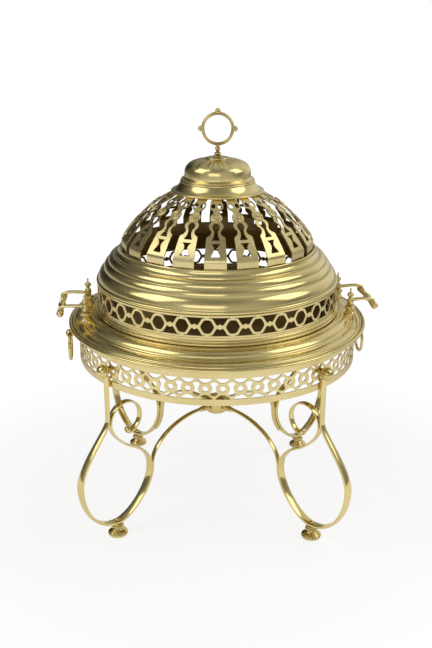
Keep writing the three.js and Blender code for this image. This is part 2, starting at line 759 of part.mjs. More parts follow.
/** Line of a rib from its foot up the dome: radius and height at a distance along it. */
const ribLine = (() => {
  const spring = new THREE.Vector2(ribSpringRadius, ribSpring);
  const top = new THREE.Vector2(ribTopRadius, ribTop);
  const chord = top.clone().sub(spring);
  const bowRadius = (chord.lengthSq() / 4 + domeSwell ** 2) / (2 * domeSwell);
  const outwards = new THREE.Vector2(chord.y, -chord.x).normalize();
  const middle = spring.clone().add(top).multiplyScalar(0.5);
  const centre = middle.addScaledVector(outwards, domeSwell - bowRadius);
  const fromAngle = spring.clone().sub(centre).angle();
  const toAngle = top.clone().sub(centre).angle();
  return {
    length: bowRadius * (toAngle - fromAngle),
    at(distance) {
      if (distance <= 0) {
        const point = new THREE.Vector2(ribSpringRadius, ribSpring + distance);
        return { point, normal: new THREE.Vector2(1, 0) };
      }
      const angle = fromAngle + distance / bowRadius;
      const normal = new THREE.Vector2(Math.cos(angle), Math.sin(angle));
      return { point: centre.clone().addScaledVector(normal, bowRadius), normal };
    },
  };
})();

function domeRib() {
  const waist = ribWaistWidth / 2;
  const head = ribHeadWidth / 2;
  const wide = ribBaseWidth / 2;
  const upTo = ribLine.length;
  const halfOutline = [
    [wide, -ribFootDepth], [wide, 0], [0.84 * wide, 0.33 * upTo], [waist, 0.38 * upTo], [head, 0.47 * upTo],
    [0.7 * rosetteRadius, 0.54 * upTo], [rosetteRadius, 0.61 * upTo], [0.5 * rosetteRadius, 0.7 * upTo],
    [1.15 * rosetteRadius, 0.82 * upTo], [ribTopWidth / 2, upTo],
  ];
  const outline = [...halfOutline, ...halfOutline.map(([x, y]) => [-x, y]).reverse()];
  const hourglass = [[-7.5, 0.06], [7.5, 0.06], [2.8, 0.17], [7.2, 0.23], [-7.2, 0.23], [-2.8, 0.17]];
  const keyhole = [
    [-6.8, 0.28], [6.8, 0.28], [2.8, 0.39], [5.6, 0.47],
    [2.4, 0.53], [-2.4, 0.53], [-5.6, 0.47], [-2.8, 0.39],
  ];
  const openings = [hourglass, keyhole].map((shape) => polygon(0, 0, shape.map(([x, y]) => [x, y * upTo])));
  const place = (x, y, depth) => {
    const { point, normal } = ribLine.at(y);
    const lip = depth * ribSheet;
    return new THREE.Vector3(point.x - normal.x * lip, x, point.y - normal.y * lip);
  };
  return body(sheet(polygon(0, 0, outline), openings, place, false));
}

const capBottom = ribLine.at(ribLine.length - 8).point.y + 4 * seatGap;
const capTop = capBottom + capHeight;

function bellCap() {
  const hole = finialBar + 1.3;
  const outside = [
    [capRadius - 4, capBottom], [capRadius, capBottom], [capRadius, capBottom + capRimThickness],
    [capRadius - 8, capBottom + 7.6], [capBodyRadius + 6.6, capBottom + 15],
    [capBodyRadius + 7, capBottom + 18], [capBodyRadius + 2, capBottom + 21.5],
    [capBodyRadius, capBottom + 27], [0.97 * capBodyRadius, capBottom + 0.64 * capHeight],
    [0.82 * capBodyRadius, capBottom + 0.84 * capHeight],
    [0.4 * capBodyRadius, capTop - 3.6], [0.3 * capBodyRadius, capTop], [hole, capTop],
  ];
  const inside = [
    [hole, capTop - capSheet], [finialNutRadius + 4, capTop - capSheet],
    [0.4 * capBodyRadius, capTop - 3.6 - capSheet],
    [0.82 * capBodyRadius - capSheet, capBottom + 0.84 * capHeight - capSheet],
    [capBodyRadius - 2 * capSheet, capBottom + 27], [capBodyRadius + 4.4, capBottom + 14],
    [capRadius - 7, capBottom + 4.6],
  ];
  return turned([...outside, ...inside], 22);
}

const finialRingLevel = capTop + seatGap + finialStem + finialBar + finialRingRadius;

function ringFinial() {
  const foot = capTop + seatGap;
  const shank = finialBar + 0.8;
  const stem = turned([
    [0, capTop - 12], [shank, capTop - 12], [shank, foot], [7.4, foot], [5, foot + 0.1 * finialStem],
    [5.8, foot + 0.26 * finialStem], [2.6, foot + 0.44 * finialStem], [4.5, foot + 0.66 * finialStem],
    [2.6, foot + 0.86 * finialStem], [3, foot + finialStem + finialBar], [0, foot + finialStem + finialBar],
  ], 8);
  const ring = new THREE.TorusGeometry(finialRingRadius, finialBar, 5, 20).rotateX(Math.PI / 2);
  ring.translate(0, 0, finialRingLevel);
  const shells = [0, 90, 180].map((angle) => {
    const shell = new THREE.CylinderGeometry(1.9, 3.9, shellLength, 6).rotateX(Math.PI / 2);
    shell.scale(1.15, 0.75, 1).translate(0, 0, finialRingRadius + finialBar - 1 + shellLength / 2);
    return shell.rotateY(radians(90 - angle)).translate(0, 0, finialRingLevel);
  });
  return join(stem, ring, ...shells);
}

function finialNut() {
  const bore = (finialBar + 0.8 + seatGap) / Math.cos(Math.PI / 6);
  const top = capTop - capSheet - seatGap;
  return turned([[bore, top - 5], [finialNutRadius, top - 5], [finialNutRadius, top], [bore, top]], 6);
}

add('lid_base_ring', baseRing(), 'spun', 0, lidBottom);
add('lid_gallery', lidGallery(), 'pierced', 0, lidBottom);
add('moulded_ring', mouldedRing(), 'spun', 0, lidBottom);
for (let i = 0; i < ribCount; i += 1) {
  const turn = -90 + (360 * i) / ribCount;
  add(`dome_rib_${String(i + 1).padStart(2, '0')}`, domeRib(), 'pierced', turn, lidBottom);
}
add('bell_cap', bellCap(), 'spun', 0, lidBottom);
add('ring_finial', ringFinial(), 'cast', 0, lidBottom);
add('finial_nut', finialNut(), 'cast', 0, lidBottom);

export default group;
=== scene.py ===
"""Charcoal brazier in polished brass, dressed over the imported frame.

A pierced hoop on four scroll legs carries a lift-out fire pan with two folding handles, and a
lift-off lid with a pierced gallery, a moulded ring, a dome of flat ribs, a bell cap and a ring
finial. Sizes are in millimetres in the frame's own axes until a piece is made, +Z up, front at -Y.
"""

import logging
import math
from collections.abc import Callable, Sequence
from dataclasses import dataclass, field
from enum import Enum

import bmesh
import bpy
from mathutils import Matrix, Vector
from mathutils.geometry import delaunay_2d_cdt


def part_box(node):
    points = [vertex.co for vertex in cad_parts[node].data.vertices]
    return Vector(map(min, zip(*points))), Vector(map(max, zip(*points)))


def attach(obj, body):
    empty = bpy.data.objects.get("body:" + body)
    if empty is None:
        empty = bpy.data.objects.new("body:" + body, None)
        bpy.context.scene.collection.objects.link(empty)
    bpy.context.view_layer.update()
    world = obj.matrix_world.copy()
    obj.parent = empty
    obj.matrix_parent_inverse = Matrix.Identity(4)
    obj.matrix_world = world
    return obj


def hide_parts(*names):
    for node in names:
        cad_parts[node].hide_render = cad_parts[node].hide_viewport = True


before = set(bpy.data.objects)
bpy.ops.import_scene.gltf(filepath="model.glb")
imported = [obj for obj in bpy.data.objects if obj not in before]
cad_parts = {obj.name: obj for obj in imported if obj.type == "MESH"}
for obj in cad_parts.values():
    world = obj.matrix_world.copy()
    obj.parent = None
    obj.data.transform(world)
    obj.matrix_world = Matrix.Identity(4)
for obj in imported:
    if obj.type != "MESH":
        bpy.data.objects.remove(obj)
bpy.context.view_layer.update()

LOG = logging.getLogger("brazier")
MM = 0.001
SEAT_GAP = 0.3
SHANK_RADIUS = 2.2
LARGE_SIDES = 180
SMALL_SIDES = 40
FRONT = math.radians(-90)

Pair = tuple[float, float]
Faces = list[tuple[int, ...]]
Place = Callable[[float, float, float], Vector]
Relief = Callable[[float, float, float], float]
SootAndShadeTest = Callable[[Vector, Vector], bool]
Colour = tuple[float, float, float]
Tree = bpy.types.NodeTree
Socket = bpy.types.NodeSocket
Feed = Socket | Vector | float | tuple[float, ...]


# ------------------------------------------------------------------------------------- drawing


class Outline:
    """A flat line drawn stroke by stroke, in millimetres."""

    def __init__(self, x: float, y: float) -> None:
        """Starts the line.

        Args:
            x: First coordinate of the start, a radius on turned work.
            y: Second coordinate of the start, a height on turned work.
        """
        self.points: list[Pair] = [(x, y)]

    def line(self, x: float, y: float, steps: int = 1) -> "Outline":
        """Draws a straight stroke.

        Args:
            x: First coordinate of its end.
            y: Second coordinate of its end.
            steps: Number of equal parts.

        Returns:
            The outline itself.
        """
        x0, y0 = self.points[-1]
        for i in range(1, steps + 1):
            self.points.append((x0 + (x - x0) * i / steps, y0 + (y - y0) * i / steps))
        return self

    def arc(self, x: float, y: float, bulge: float, steps: int = 8) -> "Outline":
        """Draws a round stroke.

        Args:
            x: First coordinate of its end.
            y: Second coordinate of its end.
            bulge: How far it stands out to the right of its direction.
            steps: Number of equal parts.

        Returns:
            The outline itself.
        """
        x0, y0 = self.points[-1]
        chord = math.hypot(x - x0, y - y0)
        along = ((x - x0) / chord, (y - y0) / chord)
        right = (along[1], -along[0])
        radius = (chord * chord / 4 + bulge * bulge) / (2 * bulge)
        half = 2 * math.atan(2 * bulge / chord)
        centre = ((x + x0) / 2 - right[0] * (radius - bulge), (y + y0) / 2 - right[1] * (radius - bulge))
        for i in range(1, steps + 1):
            turn = half * (2 * i / steps - 1)
            out, on = radius * math.cos(turn), radius * math.sin(turn)
            self.points.append(tuple(centre[k] + right[k] * out + along[k] * on for k in (0, 1)))
        return self

    def curve(self, points: Sequence[Pair], steps: int = 5) -> "Outline":
        """Draws a smooth stroke through points.

        Args:
            points: Points after the present end.
            steps: Number of parts between two points.

        Returns:
            The outline itself.
        """
        way = [self.points[-1], *points]
        way = [way[0], *way, way[-1]]
        for a, b, c, d in zip(way, way[1:], way[2:], way[3:]):
            for i in range(1, steps + 1):
                t = i / steps
                self.points.append(tuple(
                    0.5 * (2 * b[k] + (c[k] - a[k]) * t + (2 * a[k] - 5 * b[k] + 4 * c[k] - d[k]) * t * t
                           + (3 * b[k] - a[k] - 3 * c[k] + d[k]) * t ** 3)
                    for k in (0, 1)
                ))
        return self


def circle(x: float, y: float, radius: float, steps: int = 20) -> list[Pair]:
    """Points of a round opening.

    Args:
        x: First coordinate of its centre.
        y: Second coordinate of its centre.
        radius: Its radius.
        steps: Number of points.

    Returns:
        The points, anticlockwise.
    """
    turns = (2 * math.pi * i / steps for i in range(steps))
    return [(x + radius * math.cos(turn), y + radius * math.sin(turn)) for turn in turns]


def mirrored(points: Sequence[Pair]) -> list[Pair]:
    """The points mirrored across the upright line x = 0, in reverse order."""
    return [(-x, y) for x, y in reversed(points)]


def bezier(a: Pair, b: Pair, c: Pair, d: Pair, steps: int) -> list[Pair]:
    """Points of a cubic curve.

    Args:
        a: Its start.
        b: Its first handle.
        c: Its second handle.
        d: Its end.
        steps: Number of parts.

    Returns:
        The points, the start left out.
    """
    found = []
    for i in range(1, steps + 1):
        t = i / steps
        weights = ((1 - t) ** 3, 3 * t * (1 - t) ** 2, 3 * t * t * (1 - t), t ** 3)
        found.append(tuple(sum(w * p[k] for w, p in zip(weights, (a, b, c, d))) for k in (0, 1)))
    return found


@dataclass
class Shape:
    """Corners and faces of a piece, in millimetres."""

    corners: list[Vector] = field(default_factory=list)
    faces: Faces = field(default_factory=list)

    def __add__(self, other: "Shape") -> "Shape":
        """Both shapes side by side in one."""
        shift = len(self.corners)
        moved = [tuple(i + shift for i in face) for face in other.faces]
        return Shape([*self.corners, *other.corners], [*self.faces, *moved])

    def moved(self, matrix: Matrix) -> "Shape":
        """The shape turned and shifted by a matrix."""
        return Shape([matrix @ corner for corner in self.corners], list(self.faces))

    def lifted(self, x: float, y: float, z: float) -> "Shape":
        """The shape shifted by three distances."""
        return self.moved(Matrix.Translation((x, y, z)))


def turn_z(angle: float) -> Matrix:
    """Turn about the upright axis."""
    return Matrix.Rotation(angle, 4, "Z")


def along_x() -> Matrix:
    """Turn that lays upright work along +X."""
    return Matrix.Rotation(math.pi / 2, 4, "Y")


def facing(origin: Vector, outwards: Vector) -> Matrix:
    """Place that stands upright work on a surface.

    Args:
        origin: Point of the surface.
        outwards: Its normal.

    Returns:
        The matrix that carries +Z to the normal.
    """
    return Matrix.Translation(origin) @ outwards.to_track_quat("Z", "Y").to_matrix().to_4x4()


def revolve(profile: Sequence[Pair], sides: int, relief: Relief | None = None) -> Shape:
    """Turned work about the upright axis.

    Args:
        profile: Radius and height of each point, from one end on the axis to the other, or a loop.
        sides: Corners in the round.
        relief: Change of radius at a radius, a height and an angle.

    Returns:
        The closed shape.
    """
    shape = Shape()
    rings: list[list[int]] = []
    for radius, height in profile:
        first = len(shape.corners)
        if radius < 1e-6:
            shape.corners.append(Vector((0, 0, height)))
            rings.append([first] * sides)
            continue
        for i in range(sides):
            angle = 2 * math.pi * i / sides
            reach = radius + (relief(radius, height, angle) if relief else 0)
            shape.corners.append(Vector((reach * math.cos(angle), reach * math.sin(angle), height)))
        rings.append(list(range(first, first + sides)))
    looped = profile[0][0] > 1e-6
    for lower, upper in zip(rings, [*rings[1:], rings[0]] if looped else rings[1:]):
        for i in range(sides):
            j = (i + 1) % sides
            corners = (lower[i], lower[j], upper[j], upper[i])
            shape.faces.append(tuple(dict.fromkeys(corners)))
    return shape


def sweep(line: Sequence[Vector], section: Sequence[Pair], across: Vector, closed: bool = False,
          sizes: Sequence[Pair] | None = None) -> Shape:
    """A section carried along a line.

    Args:
        line: Points of the centreline.
        section: Section points, the first coordinate along across.
        across: Direction that the section's first axis takes at the start.
        closed: Whether the line closes on itself.
        sizes: Factors on the section's two axes at each point.

    Returns:
        The closed shape.
    """
    shape = Shape()
    count = len(line)
    for i, point in enumerate(line):
        before = line[i - 1] if i or closed else line[0]
        after = line[(i + 1) % count] if i < count - 1 or closed else line[-1]
        along = (after - before).normalized()
        across = (across - along * across.dot(along)).normalized()
        upward = along.cross(across)
        wide, high = sizes[i] if sizes else (1.0, 1.0)
        shape.corners += [point + across * (x * wide) + upward * (y * high) for x, y in section]
    ring = len(section)
    for i in range(count if closed else count - 1):
        near, far = i * ring, ((i + 1) % count) * ring
        for k in range(ring):
            m = (k + 1) % ring
            shape.faces.append((near + k, near + m, far + m, far + k))
    if not closed:
        shape.faces.append(tuple(reversed(range(ring))))
        shape.faces.append(tuple(range((count - 1) * ring, count * ring)))
    return shape


def inside(x: float, y: float, loop: Sequence[Pair]) -> bool:
    """Whether a point lies inside a loop.

    Args:
        x: First coordinate.
        y: Second coordinate.
        loop: Corners of the loop.

    Returns:
        True where it does.
    """
    odd = False
    for (x0, y0), (x1, y1) in zip(loop, [*loop[1:], loop[0]]):
        if (y0 > y) != (y1 > y) and x < x0 + (x1 - x0) * (y - y0) / (y1 - y0):
            odd = not odd
    return odd


def pierced_sheet(outline: Sequence[Pair], openings: Sequence[Sequence[Pair]], place: Place, copies: int = 1,
                  pitch: float = 0.0, spacing: float = 3.0) -> Shape:
    """Sheet metal with openings, bent into space, its copies joined along straight upright seams.

    Args:
        outline: Edge of one copy, anticlockwise, in the flat.
        openings: Edges of its openings.
        place: Takes a flat point and a depth, 0 outside and 1 inside, to its place.
        copies: How many copies follow each other.
        pitch: Width of one copy, 0 where it stands alone.
        spacing: Largest distance between corners in the plain parts.

    Returns:
        The closed shape, its seam corners doubled.
    """
    loops = [list(outline), *(list(opening) for opening in openings)]
    flat = [point for loop in loops for point in loop]
    edges, first = [], 0
    for loop in loops:
        edges += [(first + i, first + (i + 1) % len(loop)) for i in range(len(loop))]
        first += len(loop)
    xs, ys = [x for x, _ in outline], [y for _, y in outline]
    for i in range(1, int((max(xs) - min(xs)) / spacing) + 1):
        for k in range(1, int((max(ys) - min(ys)) / spacing) + 1):
            x, y = min(xs) + (i - 0.5 * (k % 2)) * spacing, min(ys) + k * spacing
            held = inside(x, y, outline) and not any(inside(x, y, loop) for loop in loops[1:])
            if held and all(math.hypot(x - u, y - v) > 0.5 * spacing for u, v in flat[:first]):
                flat.append((x, y))
    points, _, cells, *_ = delaunay_2d_cdt([Vector(point) for point in flat], edges, [], 0, 1e-6)
    faces = []
    for cell in cells:
        x, y = (sum(points[i][k] for i in cell) / len(cell) for k in (0, 1))
        if inside(x, y, outline) and not any(inside(x, y, loop) for loop in openings):
            faces.append(cell)
    directed = {(a, b) for face in faces for a, b in zip(face, [*face[1:], face[0]])}
    seam = pitch / 2 - 1e-4
    open_edges = [(a, b) for a, b in directed if (b, a) not in directed]
    walls = [
        (a, b) for a, b in open_edges
        if not pitch or min(abs(points[a].x), abs(points[b].x)) <= seam or points[a].x * points[b].x <= 0
    ]
    shape = Shape()
    for copy in range(copies):
        start = len(shape.corners)
        shift = start + len(points)
        for depth in (0.0, 1.0):
            shape.corners += [place(point.x + copy * pitch, point.y, depth) for point in points]
        for face in faces:
            shape.faces.append(tuple(start + i for i in face))
            shape.faces.append(tuple(shift + i for i in reversed(face)))
        shape.faces += [(start + b, start + a, shift + a, shift + b) for a, b in walls]
    return shape


# ------------------------------------------------------------------------------------ finishes


def wired(tree: Tree, kind: str, feeds: dict[int | str, Feed], operation: str = "") -> bpy.types.Node:
    """Adds a node and feeds its inputs.

    Args:
        tree: Nodes that it joins.
        kind: Type of the node.
        feeds: A value or another node's output for each input, by its name or number.
        operation: What a maths node works out.

    Returns:
        The node.
    """
    made = tree.nodes.new(kind)
    if operation:
        made.operation = operation
    for key, feed in feeds.items():
        if isinstance(feed, Socket):
            tree.links.new(feed, made.inputs[key])
        else:
            made.inputs[key].default_value = feed
    return made


def noise(tree: Tree, place: Socket, scale: float, detail: float) -> Socket:
    """Noise over a surface.

    Args:
        tree: Nodes of the material.
        place: Point of the surface.
        scale: Features per metre.
        detail: Octaves.

    Returns:
        The noise, 0 to 1.
    """
    return wired(tree, "ShaderNodeTexNoise", {"Vector": place, "Scale": scale, "Detail": detail}).outputs[0]


def span(tree: Tree, value: Socket, low: float, high: float, first: float, last: float) -> Socket:
    """Carries one range to another and stops at its ends.

    Args:
        tree: Nodes of the material.
        value: What is carried.
        low: Start of the range read.
        high: End of the range read.
        first: Result at its start.
        last: Result at its end.

    Returns:
        The result.
    """
    feeds = {"Value": value, "From Min": low, "From Max": high, "To Min": first, "To Max": last}
    return wired(tree, "ShaderNodeMapRange", feeds).outputs[0]


def mix(tree: Tree, share: Socket, first: Socket | Colour, last: Socket | Colour) -> Socket:
    """Mixes two colours.

    Args:
        tree: Nodes of the material.
        share: 0 for the first colour and 1 for the last.
        first: First colour.
        last: Last colour.

    Returns:
        The mixed colour.
    """
    node = tree.nodes.new("ShaderNodeMix")
    node.data_type = "RGBA"
    tree.links.new(share, node.inputs["Factor"])
    for colour, socket in ((first, node.inputs[6]), (last, node.inputs[7])):
        if isinstance(colour, tuple):
            socket.default_value = (*colour, 1.0)
        else:
            tree.links.new(colour, socket)
    return node.outputs[2]


class Grain(Enum):
    """Direction of the fine marks that polishing leaves."""

    SPUN = "spun"
    HAND = "hand"


@dataclass(frozen=True)
class Brass:
    """Polished brass with a light tarnish and darker hollows, part old polish and part painted shade."""

    name: str
    colour: Colour = (0.86, 0.715, 0.32)
    aged: Colour = (0.70, 0.55, 0.21)
    # Dark colour of the hollows: painted shade, with some old polish and soot.
    hollow_shade_and_tarnish: Colour = (0.12, 0.085, 0.032)
    roughness: float = 0.12
    grain: Grain = Grain.HAND
    hollow_reach: float = 3.0
    mark_depth: float = 0.05
    ripple: float = 0.25
    mark_scale: tuple[float, float, float] = (700.0, 700.0, 2.5)

    def material(self) -> bpy.types.Material:
        """Makes the material.

        Returns:
            The material of this finish.
        """
        made = bpy.data.materials.new(self.name)
        made.use_nodes = True
        tree = made.node_tree
        shader = tree.nodes["Principled BSDF"]
        shader.inputs["Metallic"].default_value = 1.0
        place = tree.nodes.new("ShaderNodeTexCoord").outputs["Object"]
        cloud = noise(tree, place, 14.0, 4.0)
        fleck = noise(tree, place, 160.0, 3.0)
        hollow_shade_and_tarnish = self._hollow_shade_and_tarnish_share(tree)
        aged = mix(tree, span(tree, cloud, 0.42, 0.72, 0.0, 0.55), self.colour, self.aged)
        # Painted shade: hollows found by ambient occlusion darken towards the hollow colour, along with old
        # polish there.
        colour = mix(tree, hollow_shade_and_tarnish, aged, self.hollow_shade_and_tarnish)
        tree.links.new(colour, shader.inputs["Base Color"])
        dull = span(tree, fleck, 0.3, 0.75, self.roughness - 0.04, self.roughness + 0.07)
        rough = wired(tree, "ShaderNodeMath", {0: hollow_shade_and_tarnish, 1: 0.35, 2: dull}, "MULTIPLY_ADD")
        tree.links.new(rough.outputs[0], shader.inputs["Roughness"])
        tree.links.new(self._marks(tree, place), shader.inputs["Normal"])
        return made

    def _marks(self, tree: Tree, place: Socket) -> Socket:
        """Bump of polishing marks over soft ripples.

        Args:
            tree: Nodes of the material.
            place: Point of the surface.

        Returns:
            The bumped normal.
        """
        if self.grain is Grain.SPUN:
            marks = noise(tree, self._round(tree, place), 1.0, 2.0)
        else:
            marks = noise(tree, place, 420.0, 2.0)
        ripples = noise(tree, place, 26.0, 1.0)
        low = wired(tree, "ShaderNodeBump", {"Strength": self.ripple, "Distance": 0.0006, "Height": ripples})
        feeds = {"Strength": self.mark_depth, "Distance": 0.0004, "Height": marks, "Normal": low.outputs[0]}
        return wired(tree, "ShaderNodeBump", feeds).outputs[0]

    def _round(self, tree: Tree, place: Socket) -> Socket:
        """Coordinates that run around the axis, so that marks become rings.

        Args:
            tree: Nodes of the material.
            place: Point of the surface.

        Returns:
            Radius, height and angle, each at the scale of the marks.
        """
        x, y, z = wired(tree, "ShaderNodeSeparateXYZ", {0: place}).outputs
        flat = wired(tree, "ShaderNodeCombineXYZ", {0: x, 1: y})
        radius = wired(tree, "ShaderNodeVectorMath", {0: flat.outputs[0]}, "LENGTH")
        angle = wired(tree, "ShaderNodeMath", {0: y, 1: x}, "ARCTAN2")
        joined = wired(tree, "ShaderNodeCombineXYZ", {0: radius.outputs["Value"], 1: z, 2: angle.outputs[0]})
        scaled = wired(tree, "ShaderNodeVectorMath", {0: joined.outputs[0], 1: self.mark_scale}, "MULTIPLY")
        return scaled.outputs[0]

    def _hollow_shade_and_tarnish_share(self, tree: Tree) -> Socket:
        """Share of old polish, soot and painted shade in corners and grooves, from ambient occlusion.

        Args:
            tree: Nodes of the material.

        Returns:
            0 on open surfaces and towards 1 in hollows.
        """
        shade = tree.nodes.new("ShaderNodeAmbientOcclusion")
        shade.samples = 6
        shade.only_local = True
        shade.inputs["Distance"].default_value = self.hollow_reach * MM
        return span(tree, shade.outputs["AO"], 0.35, 0.85, 0.85, 0.0)


SPUN = Brass("spun_brass", grain=Grain.SPUN, mark_depth=0.012, roughness=0.16)
CAST = Brass("cast_brass", colour=(0.78, 0.63, 0.27), aged=(0.55, 0.42, 0.15), roughness=0.14,
             hollow_reach=2.5)
BAR = Brass("bar_brass", roughness=0.13)
PIERCED = Brass("pierced_brass", colour=(0.86, 0.72, 0.36), roughness=0.27, hollow_reach=1.2, ripple=0.8)
# Dark finish for faces inside the lid and the pan: part soot, part painted shade where they lie in shadow.
SOOT_AND_SHADE = Brass("soot_and_shade_brass", colour=(0.42, 0.31, 0.13), aged=(0.22, 0.15, 0.06), hollow_shade_and_tarnish=(0.06, 0.04, 0.02),
               roughness=0.42, mark_depth=0.2)


@dataclass
class Workshop:
    """Turns shapes into named pieces that ride on the frame's bodies."""

    finishes: dict[str, bpy.types.Material] = field(default_factory=dict)

    def material(self, finish: Brass) -> bpy.types.Material:
        """The material of a finish, made once."""
        if finish.name not in self.finishes:
            self.finishes[finish.name] = finish.material()
        return self.finishes[finish.name]

    def piece(self, name: str, shape: Shape, finish: Brass, body: str, nodes: Sequence[str],
              bevel: float = 0.0, soot_and_shade: SootAndShadeTest | None = None) -> bpy.types.Object:
        """Makes a piece.

        Args:
            name: Its name.
            shape: Its shape, in millimetres.
            finish: Its finish.
            body: Body that it rides on.
            nodes: Frame nodes that it stands for.
            bevel: Width of the broken edges, in millimetres.
            soot_and_shade: Says by a face's centre and normal whether it takes the dark finish of soot and
                painted shade.

        Returns:
            The object.
        """
        mesh = bpy.data.meshes.new(name)
        mesh.from_pydata([corner * MM for corner in shape.corners], [], shape.faces)
        work = bmesh.new()
        work.from_mesh(mesh)
        bmesh.ops.remove_doubles(work, verts=work.verts, dist=2e-6)
        bmesh.ops.recalc_face_normals(work, faces=work.faces)
        work.to_mesh(mesh)
        work.free()
        mesh.materials.append(self.material(finish))
        # Faces that the test picks take the dark finish: soot and painted shade.
        if soot_and_shade:
            mesh.materials.append(self.material(SOOT_AND_SHADE))
            for polygon in mesh.polygons:
                polygon.material_index = int(soot_and_shade(polygon.center / MM, polygon.normal))
        mesh.shade_smooth()
        mesh.set_sharp_from_angle(angle=math.radians(34))
        made = bpy.data.objects.new(name, mesh)
        bpy.context.scene.collection.objects.link(made)
        if bevel:
            edges = made.modifiers.new("broken_edges", "BEVEL")
            edges.width = bevel * MM
            edges.segments = 2
            edges.limit_method = "ANGLE"
            edges.angle_limit = math.radians(40)
            normals = made.modifiers.new("even_shading", "WEIGHTED_NORMAL")
            normals.keep_sharp = True
        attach(made, body)
        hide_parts(*nodes)
        LOG.info("%s: %d faces on body %s", name, len(mesh.polygons), body)
        return made


def faces_axis(centre: Vector, normal: Vector) -> bool:
    """Whether a face looks towards the upright axis."""
    return normal.x * centre.x + normal.y * centre.y < -0.05 * math.hypot(centre.x, centre.y)


# --------------------------------------------------------------------------------------- stand

CORNERS = {"front_left": 225.0, "front_right": 315.0, "rear_right": 45.0, "rear_left": 135.0}


class Side(Enum):
    """The two sides that carry a handle and a drop ring, and their turn in piercings of the hoop."""

    RIGHT = "right"
    LEFT = "left"

    @property
    def turn(self) -> float:
        """Angle of the side about the axis."""
        return 2 * math.pi / PiercedHoop.repeats + (0.0 if self is Side.RIGHT else math.pi)


@dataclass
class PiercedHoop:
    """Rolled band with rings and waisted openings, the body of the stand."""

    radius: float = 234.0
    wall: float = 2.0
    lower_band: float = 11.0
    pierced_height: float = 32.0
    ring_hole: float = 4.3
    lobe_reach: float = 10.9
    repeats = 56

    def shape(self) -> Shape:
        """Builds the band.

        Returns:
            The band in place.
        """
        low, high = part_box("gallery_hoop")
        bottom, height = low.z / MM, (high.z - low.z) / MM
        pitch = 2 * math.pi * self.radius / self.repeats
        middle = self.lower_band + self.pierced_height / 2
        half = pitch / 2
        waisted = Outline(0, -self.lobe_reach).curve(
            [(-3.0, -10.4), (-4.9, -9.1), (-5.3, -7.2), (-4.4, -4.8), (-3.1, -2.4), (-2.7, 0), (-3.1, 2.4),
             (-4.4, 4.8), (-5.3, 7.2), (-4.9, 9.1), (-3.0, 10.4), (0, self.lobe_reach)], 3).points
        outline = Outline(-half, 0).line(half, 0, 6).line(half, middle - self.lobe_reach, 4)
        outline.points += [(half + x, middle + y) for x, y in waisted[1:]]
        outline.line(half, height, 7).line(-half, height, 6).line(-half, middle + self.lobe_reach, 7)
        outline.points += [(-half - x, middle + y) for x, y in reversed(waisted[:-1])]
        outline.line(-half, 0, 4)
        return pierced_sheet(
            outline.points[:-1],
            [circle(0, middle, self.ring_hole), self._boat(middle, 1), self._boat(middle, -1)],
            lambda x, y, depth: self._bend(x + half, bottom + y, depth), self.repeats, pitch, 3.2)

    def _boat(self, middle: float, up: int) -> list[Pair]:
        """Opening between a ring and a rail.

        Args:
            middle: Height of the rings.
            up: 1 above the ring and -1 below it.

        Returns:
            Its corners.
        """
        rail = self.pierced_height / 2
        side = Outline(0, 9.4).curve([(3.1, 9.9), (6.0, 11.5), (8.9, 13.8), (11.1, rail - 0.2)], 3)
        side.line(10.6, rail + 0.4).line(0, rail + 0.5, 3)
        corners = [*side.points[:-1], *mirrored(side.points)[:-1]]
        return [(x, middle + up * y) for x, y in corners]

    def _bend(self, x: float, y: float, depth: float) -> Vector:
        """Place of a flat point on the band."""
        reach = self.radius - depth * self.wall
        return Vector((reach * math.cos(x / self.radius), reach * math.sin(x / self.radius), y))

    def dress(self, workshop: Workshop) -> None:
        """Makes the hoop."""
        workshop.piece("pierced_hoop", self.shape(), PIERCED, "stand", ["gallery_hoop"], bevel=0.35)


def shank() -> Outline:
    """Line of a riveted shank through the hoop.

    Returns:
        The line from the rivet's axis inside the hoop to the edge of the collar outside it.
    """
    inner = PiercedHoop.radius - PiercedHoop.wall - SEAT_GAP
    collar = PiercedHoop.radius + 0.4
    line = Outline(0, inner - 2.0).line(5.6, inner - 2.0).arc(7.0, inner - 0.6, 0.5, 4).line(7.0, inner)
    return line.line(SHANK_RADIUS, inner).line(SHANK_RADIUS, collar).line(5.5, collar)


